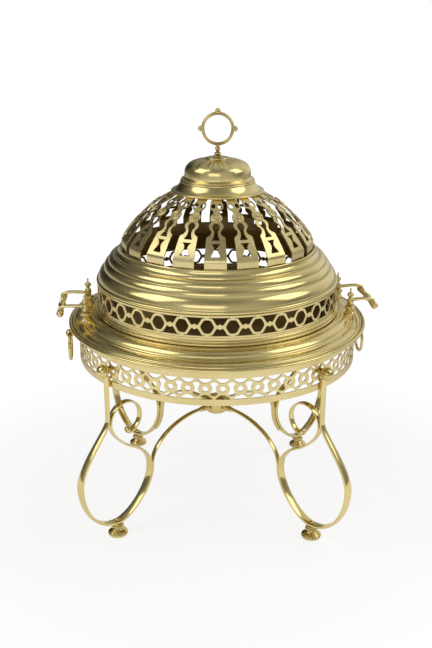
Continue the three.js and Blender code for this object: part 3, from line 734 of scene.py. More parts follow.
@dataclass
class ScrollLeg:
    """Flat bar bent into a big loop and a small scroll, with its foot, stud and stretcher."""

    strap_radius: float = 238.8
    strap_top: float = 304.0
    straight_end: float = 212.0
    foot_circle: float = 227.0
    foot_level: float = 23.3
    outermost: float = 297.0
    outer_height: float = 112.0
    innermost: float = 155.0
    inner_height: float = 102.0
    scroll_radius: float = 31.0
    scroll_height: float = 203.0
    scroll_end: float = 24.0
    scroll_turn: float = 262.0
    bar_width: float = 10.0
    bar_thickness: float = 3.6
    loop_width: float = 14.0
    loop_thickness: float = 5.0
    curl_ball: float = 5.5
    stud_height: float = 297.0
    ball_radius: float = 10.5
    ball_standoff: float = 2.6
    hub_radius: float = 20.0
    hub_middle: float = 166.0
    ferrule_length: float = 20.0
    strap_steps: int = 12
    shoulder_steps: int = 22
    loop_steps: int = 24
    waist_steps: int = 16
    throat_steps: int = 14
    scroll_steps: int = 48

    @property
    def scroll_centre(self) -> Pair:
        """Radius and height of the small scroll's centre."""
        return self.strap_radius - self.bar_thickness - 2 * SEAT_GAP - self.scroll_radius, self.scroll_height

    def toe(self, steps: int) -> list[Pair]:
        """Run of the bar from the foot to the innermost point.

        Args:
            steps: Number of parts.

        Returns:
            Radius and height of its points, the foot left out.
        """
        return bezier((self.foot_circle, self.foot_level), (self.foot_circle - 28, self.foot_level),
                      (self.innermost, self.inner_height - 38), (self.innermost, self.inner_height), steps)

    def centreline(self) -> list[Pair]:
        """Line of the whole bar from the top of the strap to the curled end.

        Returns:
            Radius and height of its points.
        """
        centre = self.scroll_centre
        start = (centre[0] + self.scroll_radius, centre[1])
        turning = ((self.innermost + start[0]) / 2, (self.inner_height + centre[1]) / 2)
        slope = (0.89, 0.454)
        line = Outline(self.strap_radius, self.strap_top)
        line.line(self.strap_radius, self.straight_end, self.strap_steps)
        line.points += bezier((self.strap_radius, self.straight_end),
                              (self.strap_radius, self.straight_end - 17),
                              (self.outermost, self.outer_height + 38), (self.outermost, self.outer_height),
                              self.shoulder_steps)
        line.points += bezier((self.outermost, self.outer_height), (self.outermost, self.outer_height - 49),
                              (self.foot_circle + 38, self.foot_level), (self.foot_circle, self.foot_level),
                              self.loop_steps)
        line.points += self.toe(self.loop_steps)
        line.points += bezier((self.innermost, self.inner_height), (self.innermost, self.inner_height + 26),
                              (turning[0] - 20 * slope[0], turning[1] - 20 * slope[1]), turning,
                              self.waist_steps)
        line.points += bezier(turning, (turning[0] + 18 * slope[0], turning[1] + 18 * slope[1]),
                              (start[0], start[1] - 18), start, self.throat_steps)
        line.points += [self._scroll_point(i / self.scroll_steps) for i in range(1, self.scroll_steps + 1)]
        return line.points

    def _scroll_point(self, share: float) -> Pair:
        """Point of the small scroll at a share of its turn."""
        reach = self.scroll_radius + (self.scroll_end - self.scroll_radius) * share ** 3
        angle = math.radians(self.scroll_turn * share)
        centre = self.scroll_centre
        return centre[0] + reach * math.cos(angle), centre[1] + reach * math.sin(angle)

    def _bar_section(self, width: float, thickness: float, dome: float) -> list[Pair]:
        """Section of a bar with a flat back and a domed face.

        Args:
            width: Its width.
            thickness: Its full thickness.
            dome: How much of the thickness is dome.

        Returns:
            Its corners.
        """
        half, back, edge = width / 2, thickness / 2, thickness / 2 - dome
        soft = 0.5
        line = Outline(-half + soft, -back).line(half - soft, -back).arc(half, -back + soft, 0.15, 2)
        line.line(half, edge - soft).arc(half - soft, edge, 0.15, 2)
        line.arc(-half + soft, edge, dome, 8).arc(-half, edge - soft, 0.15, 2).line(-half, -back + soft)
        return line.arc(-half + soft, -back, 0.15, 2).points[:-1]

    def bar(self) -> Shape:
        """Builds the bent bar with the ball at its curled end.

        Returns:
            The bar in the upright plane through +X.
        """
        line = [Vector((x, 0, z)) for x, z in self.centreline()]
        section = self._bar_section(self.bar_width, self.bar_thickness, 0.8)
        light = (1.0, 1.0)
        heavy = (self.loop_width / self.bar_width, self.loop_thickness / self.bar_thickness)
        weights = [0.0] * (self.strap_steps + 1)
        weights += [i / self.shoulder_steps for i in range(1, self.shoulder_steps + 1)]
        weights += [1.0] * (2 * self.loop_steps)
        weights += [1 - i / self.waist_steps for i in range(1, self.waist_steps + 1)]
        weights += [0.0] * (len(line) - len(weights))
        sizes = [tuple(a + (b - a) * weight for a, b in zip(light, heavy)) for weight in weights]
        end = self._scroll_point(1.0)
        ball = revolve(Outline(0, -self.curl_ball).arc(0, self.curl_ball, self.curl_ball, 14).points, 24)
        ball = ball.moved(Matrix.Scale(1.15, 4, (0, 1, 0)))
        ball = ball.lifted(end[0] - 0.5, 0, end[1] + self.curl_ball - self.bar_thickness / 2)
        return sweep(line, section, Vector((0, 1, 0)), sizes=sizes) + ball + self._touch()

    def _touch(self) -> Shape:
        """Small rivet where the scroll touches the strap."""
        length = 2 * self.bar_thickness
        pin = revolve(Outline(0, 0).line(2.4, 0).line(2.4, length).line(0, length).points, 16)
        inner = self.strap_radius - 1.5 * self.bar_thickness
        return pin.moved(along_x()).lifted(inner, 0, self.scroll_height + 4)

    def foot(self) -> Shape:
        """Builds the turned foot with the head of its stud above the bar.

        Returns:
            The foot in the upright plane through +X.
        """
        top = self.foot_level - self.loop_thickness / 2 - SEAT_GAP
        line = Outline(0, 0).line(13.6, 0).line(15.2, 0.6).arc(15.4, 6.0, 1.3, 8).line(14.3, 6.5)
        line.line(14.2, 7.2)
        line.curve([(12.2, 8.6), (9.4, 10.4), (7.6, 12.6), (7.5, 14.0)], 4).line(8.6, 14.3)
        line.arc(8.7, 18.4, 1.7, 8).line(7.8, 18.7).line(7.6, top).line(2.5, top)
        above = top + self.loop_thickness + 4 * SEAT_GAP
        line.line(2.5, above).line(4.6, above).arc(0, above + 2.4, 0.9, 6)
        return revolve(line.points, SMALL_SIDES).lifted(self.foot_circle, 0, 0)

    def stud(self) -> Shape:
        """Builds the ball stud that clamps the strap on the hoop.

        Returns:
            The stud in the upright plane through +X.
        """
        face = self.strap_radius + self.bar_thickness / 2 + SEAT_GAP
        centre = face + self.ball_standoff
        washer = PiercedHoop.radius + 2.7
        line = shank().line(5.5, washer).line(SHANK_RADIUS, washer).line(SHANK_RADIUS, face)
        angle = math.asin(self.ball_standoff / self.ball_radius)
        for i in range(19):
            turn = -angle + (math.pi / 2 + angle) * i / 18
            line.line(self.ball_radius * math.cos(turn), centre + self.ball_radius * math.sin(turn))
        line.points[-1] = (0.0, centre + self.ball_radius)
        return revolve(line.points, SMALL_SIDES).moved(along_x()).lifted(0, 0, self.stud_height)

    def stretcher(self) -> Shape:
        """Builds the bar from the hub to the loop, with its ribbed ferrule.

        Returns:
            The bar in the upright plane through +X.
        """
        shoulder = self.hub_radius + SEAT_GAP
        end = shoulder + self.ferrule_length
        clear = (self.loop_thickness + 4.0) / 2 + SEAT_GAP
        toe = [(self.foot_circle, self.foot_level), *self.toe(25)][::-1]
        beside = []
        for before, point, after in zip([toe[0], *toe], toe, toe[1:]):
            along = Vector((after[0] - before[0], after[1] - before[1])).normalized()
            beside.append((point[0] + along[1] * clear, point[1] - along[0] * clear))
        meeting = beside[0]
        line = [(end - 3.0, self.hub_middle)]
        handles = (end + 57, self.hub_middle + 3), (meeting[0] - 2, meeting[1] + 37)
        line += bezier(line[0], *handles, meeting, 34)
        line += beside[1:11]
        section = self._bar_section(8.0, 4.0, 1.4)
        bar = sweep([Vector((x, 0, z)) for x, z in line], section, Vector((0, -1, 0)))
        rib = self.ferrule_length / 6
        sleeve = Outline(0, shoulder - 6.7).line(3.0, shoulder - 6.7).line(3.0, shoulder).line(5.2, shoulder)
        for i, radius in enumerate((5.6, 6.0, 5.6, 5.0)):
            sleeve.line(radius - 2.0, shoulder + i * rib + 0.3)
            sleeve.arc(radius - 2.0, shoulder + (i + 1) * rib, 2.0, 8)
        sleeve.curve([(4.6, end - 4), (4.0, end - 1), (3.2, end)], 3).line(0, end)
        return bar + revolve(sleeve.points, 28).moved(along_x()).lifted(0, 0, self.hub_middle)

    def dress(self, workshop: Workshop) -> None:
        """Makes the pieces of all four legs."""
        for corner, degrees in CORNERS.items():
            turn = turn_z(math.radians(degrees))
            workshop.piece(f"scroll_bar_{corner}", self.bar().moved(turn), BAR, "stand", [f"leg_{corner}"])
            workshop.piece(f"turned_foot_{corner}", self.foot().moved(turn), CAST, "stand",
                           [f"foot_{corner}"])
            workshop.piece(f"ball_{corner}", self.stud().moved(turn), CAST, "stand", [f"ball_stud_{corner}"])
            workshop.piece(f"bowed_bar_{corner}", self.stretcher().moved(turn), BAR, "stand",
                           [f"stretcher_{corner}"])


@dataclass
class CentreHub:
    """Round boss that takes the four stretchers."""

    radius: float = 20.0
    low: float = 151.0
    high: float = 181.0

    def dress(self, workshop: Workshop) -> None:
        """Makes the hub."""
        line = Outline(0, self.low).arc(12, self.low + 1.4, 0.8, 6).line(13.5, self.low + 1.6)
        line.arc(18.6, self.low + 5.4, 1.6, 8).line(18.6, self.low + 6.4)
        line.arc(self.radius - 0.4, self.low + 8, 0.4, 3)
        line.line(self.radius - 0.4, self.high - 8).line(18.6, self.high - 6.4).line(18.6, self.high - 5.4)
        line.arc(13.5, self.high - 1.6, 1.6, 8).line(12, self.high - 1.2).arc(0, self.high, 0.8, 6)
        workshop.piece("hub_boss", revolve(line.points, 64), CAST, "stand", ["centre_hub"])


@dataclass
class DropRing:
    """Plain ring that hangs in an eye on the hoop."""

    eye_distance: float = 250.2
    eye_radius: float = 7.2
    height: float = 306.0
    hang: float = 0.3
    mean_radius: float = 22.5
    bar: float = 2.5

    def eye(self) -> Shape:
        """Builds the eye: a bored ball on a collar.

        Returns:
            The eye in the upright plane through +X.
        """
        skin = PiercedHoop.radius
        stem = shank().arc(5.5, skin + 2.7, 0.5, 4).line(3.6, skin + 3.2).line(3.0, skin + 6.4)
        stem.arc(3.2, skin + 8.2, -0.4, 4).line(3.6, skin + 9.6).line(0, skin + 9.6)
        bore = self.bar + 1.6
        across = math.sqrt(self.eye_radius ** 2 - bore ** 2)
        ball = Outline(bore, -across).arc(bore, across, self.eye_radius - bore, 16)
        cheek = revolve(ball.points, SMALL_SIDES).moved(Matrix.Rotation(math.pi / 2, 4, "X"))
        eye = revolve(stem.points, 28).moved(along_x()) + cheek.lifted(self.eye_distance, 0, 0)
        return eye.lifted(0, 0, self.height)

    def ring(self) -> Shape:
        """Builds the hanging ring.

        Returns:
            The ring in the upright plane through +X.
        """
        level = self.height - self.hang - self.mean_radius
        line = [Vector((self.eye_distance, y, level + z)) for y, z in circle(0, 0, self.mean_radius, 72)]
        return sweep(line, circle(0, 0, self.bar, 14), Vector((1, 0, 0)), closed=True)

    def dress(self, workshop: Workshop) -> None:
        """Makes both eyes and both rings."""
        for side in Side:
            turn = turn_z(side.turn)
            workshop.piece(f"bored_eye_{side.value}", self.eye().moved(turn), CAST, "stand",
                           [f"ring_eye_{side.value}"])
            workshop.piece(f"hanging_ring_{side.value}", self.ring().moved(turn), CAST, f"ring_{side.value}",
                           [f"drop_ring_{side.value}"])


# ----------------------------------------------------------------------------------- fire pan


@dataclass
class FirePan:
    """Spun pan: a moulded brim over the hoop and a bowl inside it."""

    brim_flat: float = 351.0
    hoop_top: float = 335.4
    rim_radius: float = 190.0
    floor_radius: float = 112.0
    depth: float = 69.0

    def shape(self) -> Shape:
        """Builds the pan.

        Returns:
            The pan in place.
        """
        flat, floor = self.brim_flat, self.brim_flat - self.depth
        line = Outline(0, floor).line(self.floor_radius, floor)
        line.curve([(140, floor + 4), (160, floor + 13), (177, floor + 38), (185.5, floor + 60),
                    (self.rim_radius - 1.2, flat - 1.6)], 6)
        line.arc(self.rim_radius + 1.0, flat, 0.6, 4).line(204.6, flat)
        line.arc(207.4, flat - 0.1, -0.5, 4).arc(210.2, flat - 0.9, -0.9, 6).line(211.0, flat - 1.2)
        line.arc(222.4, flat - 6.0, -1.5, 12).line(223.2, flat - 6.9).arc(226.0, flat - 10.9, 1.0, 6)
        line.arc(228.8, flat - 12.1, -0.7, 5).line(229.6, flat - 12.2)
        line.arc(239.6, flat - 15.0, -0.7, 10).line(240.3, flat - 15.9)
        line.arc(244.0, flat - 16.9, -1.5, 7).line(244.9, flat - 17.9)
        line.arc(244.6, flat - 21.0, -5.4, 16)
        line.line(242.0, self.hoop_top + SEAT_GAP).line(228.0, self.hoop_top + SEAT_GAP)
        line.curve([(221, flat - 9.2), (214, flat - 4.6), (206, flat - 2.2), (200, flat - 2.0),
                    (193.5, flat - 2.4)], 4)
        line.curve([(187.4, floor + 59), (179, floor + 36.5), (161.5, floor + 11.5), (140.6, floor + 2),
                    (self.floor_radius, floor - 2)], 5)
        line.line(0, floor - 2)
        return revolve(line.points, LARGE_SIDES)

    def _soot_and_shade_face(self, centre: Vector, normal: Vector) -> bool:
        """Whether a face is the fire side of the bowl or the side under it, both dark with soot and painted
        shade.
        """
        return math.hypot(centre.x, centre.y) < self.rim_radius - 1.5

    def dress(self, workshop: Workshop) -> None:
        """Makes the pan."""
        # The bowl's inside and underside take the dark finish: soot and painted shade.
        workshop.piece("spun_pan", self.shape(), SPUN, "pan", ["fire_pan"], soot_and_shade=self._soot_and_shade_face)


@dataclass
class Handle:
    """Folding handle: two posts on the brim, two bent arms and a turned grip."""

    hinge_distance: float = 219.0
    axis_level: float = 365.0
    spacing: float = 93.0
    inset: float = 8.5
    reach: float = 41.5
    grip_drop: float = 7.5
    arm_radius: float = 2.9
    grip_length: float = 108.0
    foot_radius: float = 8.6

    @property
    def beside(self) -> float:
        """Distance of an arm from the middle of the handle."""
        return self.spacing / 2 - self.inset

    def post(self, hand: int) -> Shape:
        """Builds a post with its leafy foot, ball and spike.

        Args:
            hand: 1 or -1, the end of the handle.

        Returns:
            The post in place beside +X.
        """
        axis = self.axis_level
        line = Outline(0, axis - 27).line(self.foot_radius - 1, axis - 27).line(self.foot_radius, axis - 19.5)
        line.curve([(7.4, axis - 17.6), (6.2, axis - 15.6), (7.0, axis - 13.6), (8.8, axis - 10.8),
                    (8.6, axis - 8.0), (6.0, axis - 6.2)], 4).line(4.2, axis - 5.6)
        line.arc(4.0, axis + 5.6, 1.5, 12).line(2.7, axis + 6.8).line(2.5, axis + 7.8).line(3.4, axis + 8.4)
        line.curve([(4.9, axis + 10.2), (5.3, axis + 12.4), (4.5, axis + 14.8), (2.8, axis + 16.4),
                    (1.5, axis + 17.4), (1.0, axis + 19.4)], 4)
        line.line(1.5, axis + 20.4).arc(0, axis + 24, 0.9, 6)

        def leaves(radius: float, height: float, angle: float) -> float:
            """Lobes of the leaves round the foot and of the crown round the ball."""
            bulge = max(0.0, 1 - abs(axis - 10.4 - height) / 5)
            share = bulge + max(0.0, min(1.0, (axis - 16.5 - height) / 3))
            crown = max(0.0, 1 - abs(height - axis - 12.4) / 3.4)
            return radius * (0.16 * share * (abs(math.cos(3 * angle)) - 0.75)
                             + 0.10 * crown * math.cos(8 * angle))

        rivet = Outline(0, 331.0).arc(4.7, 332.4, 0.8, 5).line(4.7, 334.2).line(2.7, 334.2)
        rivet.line(2.7, axis - 14).line(0, axis - 14)
        stud = revolve(line.points, 48, leaves) + revolve(rivet.points, 20)
        return stud.lifted(self.hinge_distance, hand * self.spacing / 2, 0)

    def _arm_line(self, hand: int) -> list[Vector]:
        """Centreline of an arm from its pin to its tip in the grip."""
        beside, reach, drop = self.beside, self.reach, self.grip_drop
        way = [(0, self.spacing / 2 + 6.6, 0), (0, beside + 3.6, 0), (1.4, beside + 1, 0.2), (6, beside, 1),
               (reach / 2, beside, 2.2), (reach - 8, beside, 1.8), (reach - 1, beside, -0.4),
               (reach, beside, 4.6 - drop), (reach, beside, 2.4 - drop)]
        side = Outline(way[0][0], way[0][1]).curve([(x, y) for x, y, _ in way[1:]], 6).points
        rise = Outline(0, way[0][2]).curve([(i + 1, z) for i, (_, _, z) in enumerate(way[1:])], 6).points
        points = ((x, hand * y, z) for (x, y), (_, z) in zip(side, rise))
        return [Vector((self.hinge_distance, 0, self.axis_level)) + Vector(point) for point in points]

    def arm(self, hand: int) -> Shape:
        """Builds an arm with the heads of its pin.

        Args:
            hand: 1 or -1, the end of the handle.

        Returns:
            The arm in place beside +X.
        """
        rod = sweep(self._arm_line(hand), circle(0, 0, self.arm_radius, 14), Vector((0, 0, 1)))
        cap = revolve(Outline(0, 0).line(self.arm_radius, 0).arc(0, 1.8, 1.0, 6).points, 20)
        pin_end = Vector((self.hinge_distance, hand * (self.spacing / 2 + 6), self.axis_level))
        head = cap.moved(facing(pin_end, Vector((0, hand, 0))))
        elbow = revolve(Outline(0, -2.6).arc(0, 2.6, 2.6, 12).points, 20)
        elbow = elbow.lifted(self.hinge_distance + self.reach, hand * self.beside, self.axis_level - 0.4)
        return rod + head + elbow

    def grip(self) -> Shape:
        """Builds the turned grip between two balls.

        Returns:
            The grip in place beside +X.
        """
        end = self.grip_length / 2
        ball = 5.9
        line = Outline(0, -end)
        for i in range(1, 15):
            turn = -math.pi / 2 + math.radians(142) * i / 14
            line.line(ball * math.cos(turn), -end + ball + ball * math.sin(turn))
        near = -self.beside
        line.line(3.2, near - 5.4).line(4.6, near - 4.8).arc(4.6, near - 3.2, 0.7, 4).line(3.9, near - 2.9)
        line.arc(3.9, near + 3.4, 1.4, 8).line(4.6, near + 3.8).arc(4.6, near + 5.4, 0.7, 4)
        line.line(3.3, near + 6.0)
        for i in range(3):
            first = near + 6.6 + 3.4 * i
            line.line(3.5, first).arc(3.5, first + 2.8, 1.3 - 0.15 * i, 6)
        line.line(2.9, near + 17.0).curve([(3.1, near + 20), (4.0, -12), (5.2, -6)], 4).line(5.6, -5.2)
        line.arc(5.6, -3.4, 0.6, 4).line(5.2, -3.0).arc(5.2, 0, 0.3, 3)
        points = [*line.points, *((x, -y) for x, y in reversed(line.points[:-1]))]
        turned = revolve(points, SMALL_SIDES).moved(Matrix.Rotation(math.pi / 2, 4, "X"))
        return turned.lifted(self.hinge_distance + self.reach, 0, self.axis_level - self.grip_drop)

    def dress(self, workshop: Workshop) -> None:
        """Makes both handles."""
        for side in Side:
            turn = turn_z(side.turn)
            front = -1 if side is Side.RIGHT else 1
            name = side.value
            for end, hand in (("front", front), ("rear", -front)):
                workshop.piece(f"leafy_post_{name}_{end}", self.post(hand).moved(turn), CAST, "pan",
                               [f"handle_post_{name}_{end}"])
                workshop.piece(f"bent_arm_{name}_{end}", self.arm(hand).moved(turn), BAR, f"handle_{name}",
                               [f"handle_arm_{name}_{end}"])
            workshop.piece(f"turned_grip_{name}", self.grip().moved(turn), CAST, f"handle_{name}",
                           [f"handle_grip_{name}"])


# ----------------------------------------------------------------------------------------- lid


@dataclass
class LidRings:
    """Base ring, pierced gallery and moulded ring of the lid."""

    bottom: float = 351.3
    gallery_radius: float = 200.5
    gallery_wall: float = 2.0
    repeats: int = 33
    half_opening: float = 10.4
    half_height: float = 10.0
    rail: float = 3.0
    turn: float = -93.2

    def base(self) -> Shape:
        """Builds the base ring.

        Returns:
            The ring in place.
        """
        low, high = self.bottom, self.bottom + 13.0
        line = Outline(197.2, low).line(202.4, low).line(203.2, low + 0.5).arc(203.2, low + 4.0, 0.8, 8)
        line.line(202.2, low + 4.4).arc(201.9, low + 5.6, -0.3, 4).arc(202.4, low + 8.6, 0.9, 8)
        line.line(201.5, low + 9.0).arc(200.9, low + 10.6, -0.3, 4).line(200.9, high).line(198.3, high)
        return revolve(line.line(197.6, low + 6).points, LARGE_SIDES)

    def gallery(self) -> Shape:
        """Builds the pierced gallery.

        Returns:
            The band in place.
        """
        low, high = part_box("lid_gallery")
        bottom, height = low.z / MM, (high.z - low.z) / MM
        pitch = 2 * math.pi * self.gallery_radius / self.repeats
        middle, half = height / 2, pitch / 2
        rail = middle - self.rail
        spandrel = Outline(0, rail).line(-16.2, rail, 6).line(-15.9, rail - 0.8)
        spandrel.curve([(-12.6, 13.1), (-10.6, 11.6), (-7.9, 7.2), (-5.6, 3.6), (-4.2, 2.5), (-2.8, 2.6),
                        (-2.0, 3.3), (-1.1, 3.9), (0, 4.1)], 3)
        side = [*Outline(0, -middle).line(0, -rail, 2).points, *((x, -y) for x, y in spandrel.points[1:])]
        side += Outline(0, -3.9).line(0, 3.9, 4).points[1:]
        side += [*reversed(spandrel.points[:-1]), *Outline(0, rail).line(0, middle, 2).points[1:]]
        outline = Outline(-half, 0).line(half, 0, 9)
        outline.points += [(half + x, middle + y) for x, y in side[1:]]
        outline.line(-half, height, 9)
        outline.points += [(-half - x, middle + y) for x, y in reversed(side[1:-1])]
        hexagon = Outline(-self.half_opening, middle)
        for x, y in ((-4.6, -1), (4.6, -1), (self.half_opening, 0), (4.6, 1), (-4.6, 1),
                     (-self.half_opening, 0)):
            hexagon.arc(x, middle + y * self.half_height, 0.55, 5)

        def bend(x: float, y: float, depth: float) -> Vector:
            """Place of a flat point on the band."""
            angle = math.radians(self.turn) + x / self.gallery_radius
            reach = self.gallery_radius - depth * self.gallery_wall
            return Vector((reach * math.cos(angle), reach * math.sin(angle), bottom + y))

        return pierced_sheet(outline.points, [hexagon.points[:-1]], bend, self.repeats, pitch, 3.4)

    def moulded(self) -> Shape:
        """Builds the moulded ring above the gallery.

        Returns:
            The ring in place.
        """
        low = self.bottom + 48.2
        line = Outline(195.5, low).line(199.6, low).line(200.4, low + 0.5).arc(200.4, low + 5.7, 1.1, 10)
        line.line(199.0, low + 6.3).line(198.6, low + 7.2).arc(189.9, low + 22.2, 2.0, 16)
        line.line(188.6, low + 23.0)
        line.line(188.4, low + 24.4).arc(181.6, low + 34.4, 1.7, 14).line(181.0, low + 35.0)
        line.arc(170.4, low + 44.8, 2.8, 16).arc(168.3, low + 46.4, -0.7, 4).line(168.0, low + 47.4)
        line.arc(162.6, low + 56.0, -1.4, 10).line(161.9, low + 57.0).arc(160.9, low + 57.5, 0.3, 3)
        line.line(159.6, low + 57.5)
        line.line(159.5, low + 46.2)
        line.curve([(166.5, low + 42), (176.4, low + 33), (186, low + 19.4), (193.2, low + 7.4)], 4)
        return revolve(line.points, LARGE_SIDES)

    def dress(self, workshop: Workshop) -> None:
        """Makes the three rings."""
        # Faces of the rings that look to the axis take the dark finish: soot and painted shade.
        workshop.piece("plain_base_ring", self.base(), SPUN, "lid", ["lid_base_ring"], soot_and_shade=faces_axis)
        workshop.piece("hexagon_gallery", self.gallery(), PIERCED, "lid", ["lid_gallery"], bevel=0.4,
                       soot_and_shade=faces_axis)
        workshop.piece("dome_moulding", self.moulded(), SPUN, "lid", ["moulded_ring"], soot_and_shade=faces_axis)


@dataclass
class DomeRibs:
    """Flat pierced ribs bent to the dome, each with a rosette."""

    count: int = 20
    sheet: float = 1.8
    spring_radius: float = 157.5
    spring_level: float = 469.5
    top_radius: float = 66.0
    rise: float = 78.5
    swell: float = 9.0
    foot_depth: float = 24.5
    rosette_at: float = 74.5
    rosette_radius: float = 8.9

    def __post_init__(self) -> None:
        """Works out the arc that the ribs follow."""
        chord = Vector((self.top_radius - self.spring_radius, self.rise))
        self.bow = (chord.length_squared / 4 + self.swell ** 2) / (2 * self.swell)
        outwards = Vector((chord.y, -chord.x)).normalized()
        middle = Vector((self.spring_radius, self.spring_level)) + chord / 2
        self.centre = middle + outwards * (self.swell - self.bow)
        start = Vector((self.spring_radius, self.spring_level)) - self.centre
        self.first = math.atan2(start.y, start.x)

    def on_line(self, distance: float) -> tuple[Vector, Vector]:
        """Point and normal of the rib's line.

        Args:
            distance: Way from the spring of the dome.

        Returns:
            Radius and height of the point, and the outward normal there.
        """
        if distance <= 0:
            return Vector((self.spring_radius, self.spring_level + distance)), Vector((1, 0))
        angle = self.first + distance / self.bow
        normal = Vector((math.cos(angle), math.sin(angle)))
        return self.centre + normal * self.bow, normal

    def _place(self, x: float, y: float, depth: float) -> Vector:
        """Place of a flat point of a rib, in the upright plane through +X."""
        point, normal = self.on_line(y)
        lip = depth * self.sheet
        return Vector((point.x - normal.x * lip, x, point.y - normal.y * lip))

    def rib(self) -> Shape:
        """Builds one rib.

        Returns:
            The rib in the upright plane through +X.
        """
        side = Outline(17, -self.foot_depth).line(17, 0, 7)
        side.line(16.9, 0.6).curve([(16.3, 11), (15.3, 24), (14.5, 36)], 4).line(14.3, 38.4).line(13.6, 39.8)
        side.curve([(10.6, 41.8), (8.0, 44.8), (6.8, 48.4), (7.7, 51.6), (9.8, 54.4), (11.0, 58.4),
                    (10.5, 62.0), (8.8, 64.8), (7.3, 66.4)], 3).line(7.0, 67.2)
        side.curve([(8.6, 70.4), (9.1, 74.5), (8.6, 78.6), (6.8, 82.0)], 3).line(5.0, 83.4)
        side.curve([(4.4, 86.4), (5.4, 89.8), (8.2, 92.6), (9.8, 96.4), (10.3, 100.6), (9.7, 105),
                    (8.2, 108.6), (7.5, 112), (7.8, 117), (8.4, 121.8)], 3)
        outline = [*side.points, *mirrored(side.points)]
        hourglass = Outline(0, 7).line(7.5, 7, 2)
        hourglass.curve([(5.9, 11), (3.5, 16), (2.8, 21), (4.5, 25.4), (7.2, 28.6)], 4)
        hourglass.line(0, 28.6, 2)
        keyhole = Outline(0, 34).line(6.8, 34, 2)
        keyhole.curve([(5.3, 37), (3.5, 42), (2.8, 47), (3.4, 50.8), (5.0, 54.2),
                                                         (5.7, 58.2), (4.6, 61.8), (2.4, 63.8), (0, 64.4)], 3)
        openings = [[*line.points[:-1], *mirrored(line.points)[:-1]] for line in (hourglass, keyhole)]
        openings += [[(x + 3.4 * u, 100.2 + 5.4 * v) for u, v in circle(0, 0, 1.0, 16)] for x in (-4.9, 4.9)]
        return pierced_sheet(outline, openings, self._place, spacing=3.4) + self._rosette()

    def _rosette(self) -> Shape:
        """Builds the raised rosette: a beaded rim, petals and a button."""
        line = Outline(0, -0.6).line(self.rosette_radius, -0.6).arc(self.rosette_radius - 2.4, 0.9, 1.2, 7)
        line.line(self.rosette_radius - 2.9, 0.2).curve([(4.9, 1.0), (3.6, 0.9), (2.9, 0.3)], 4)
        line.line(2.5, 0.5).arc(0, 2.2, 0.9, 6)

        def petals(radius: float, height: float, angle: float) -> float:
            """Eight petals between the rim and the button."""
            return 0.16 * math.cos(8 * angle) * radius if 3.0 < radius < 5.6 and height > 0 else 0.0

        point, normal = self.on_line(self.rosette_at)
        place = facing(Vector((point.x, 0, point.y)), Vector((normal.x, 0, normal.y)))
        return revolve(line.points, 32, petals).moved(place)

    def dress(self, workshop: Workshop) -> None:
        """Makes all ribs, the first one at the front."""
        shape = self.rib()

        # Faces looking into the dome take the dark finish: soot and painted shade.
        def inner(centre: Vector, normal: Vector) -> bool:
            """Whether a face looks into the dome."""
            return faces_axis(centre, normal) or normal.z < -0.3

        for i in range(self.count):
            turn = turn_z(FRONT + 2 * math.pi * i / self.count)
            workshop.piece(f"pierced_rib_{i + 1:02d}", shape.moved(turn), PIERCED, "lid",
                           [f"dome_rib_{i + 1:02d}"], bevel=0.35, soot_and_shade=inner)


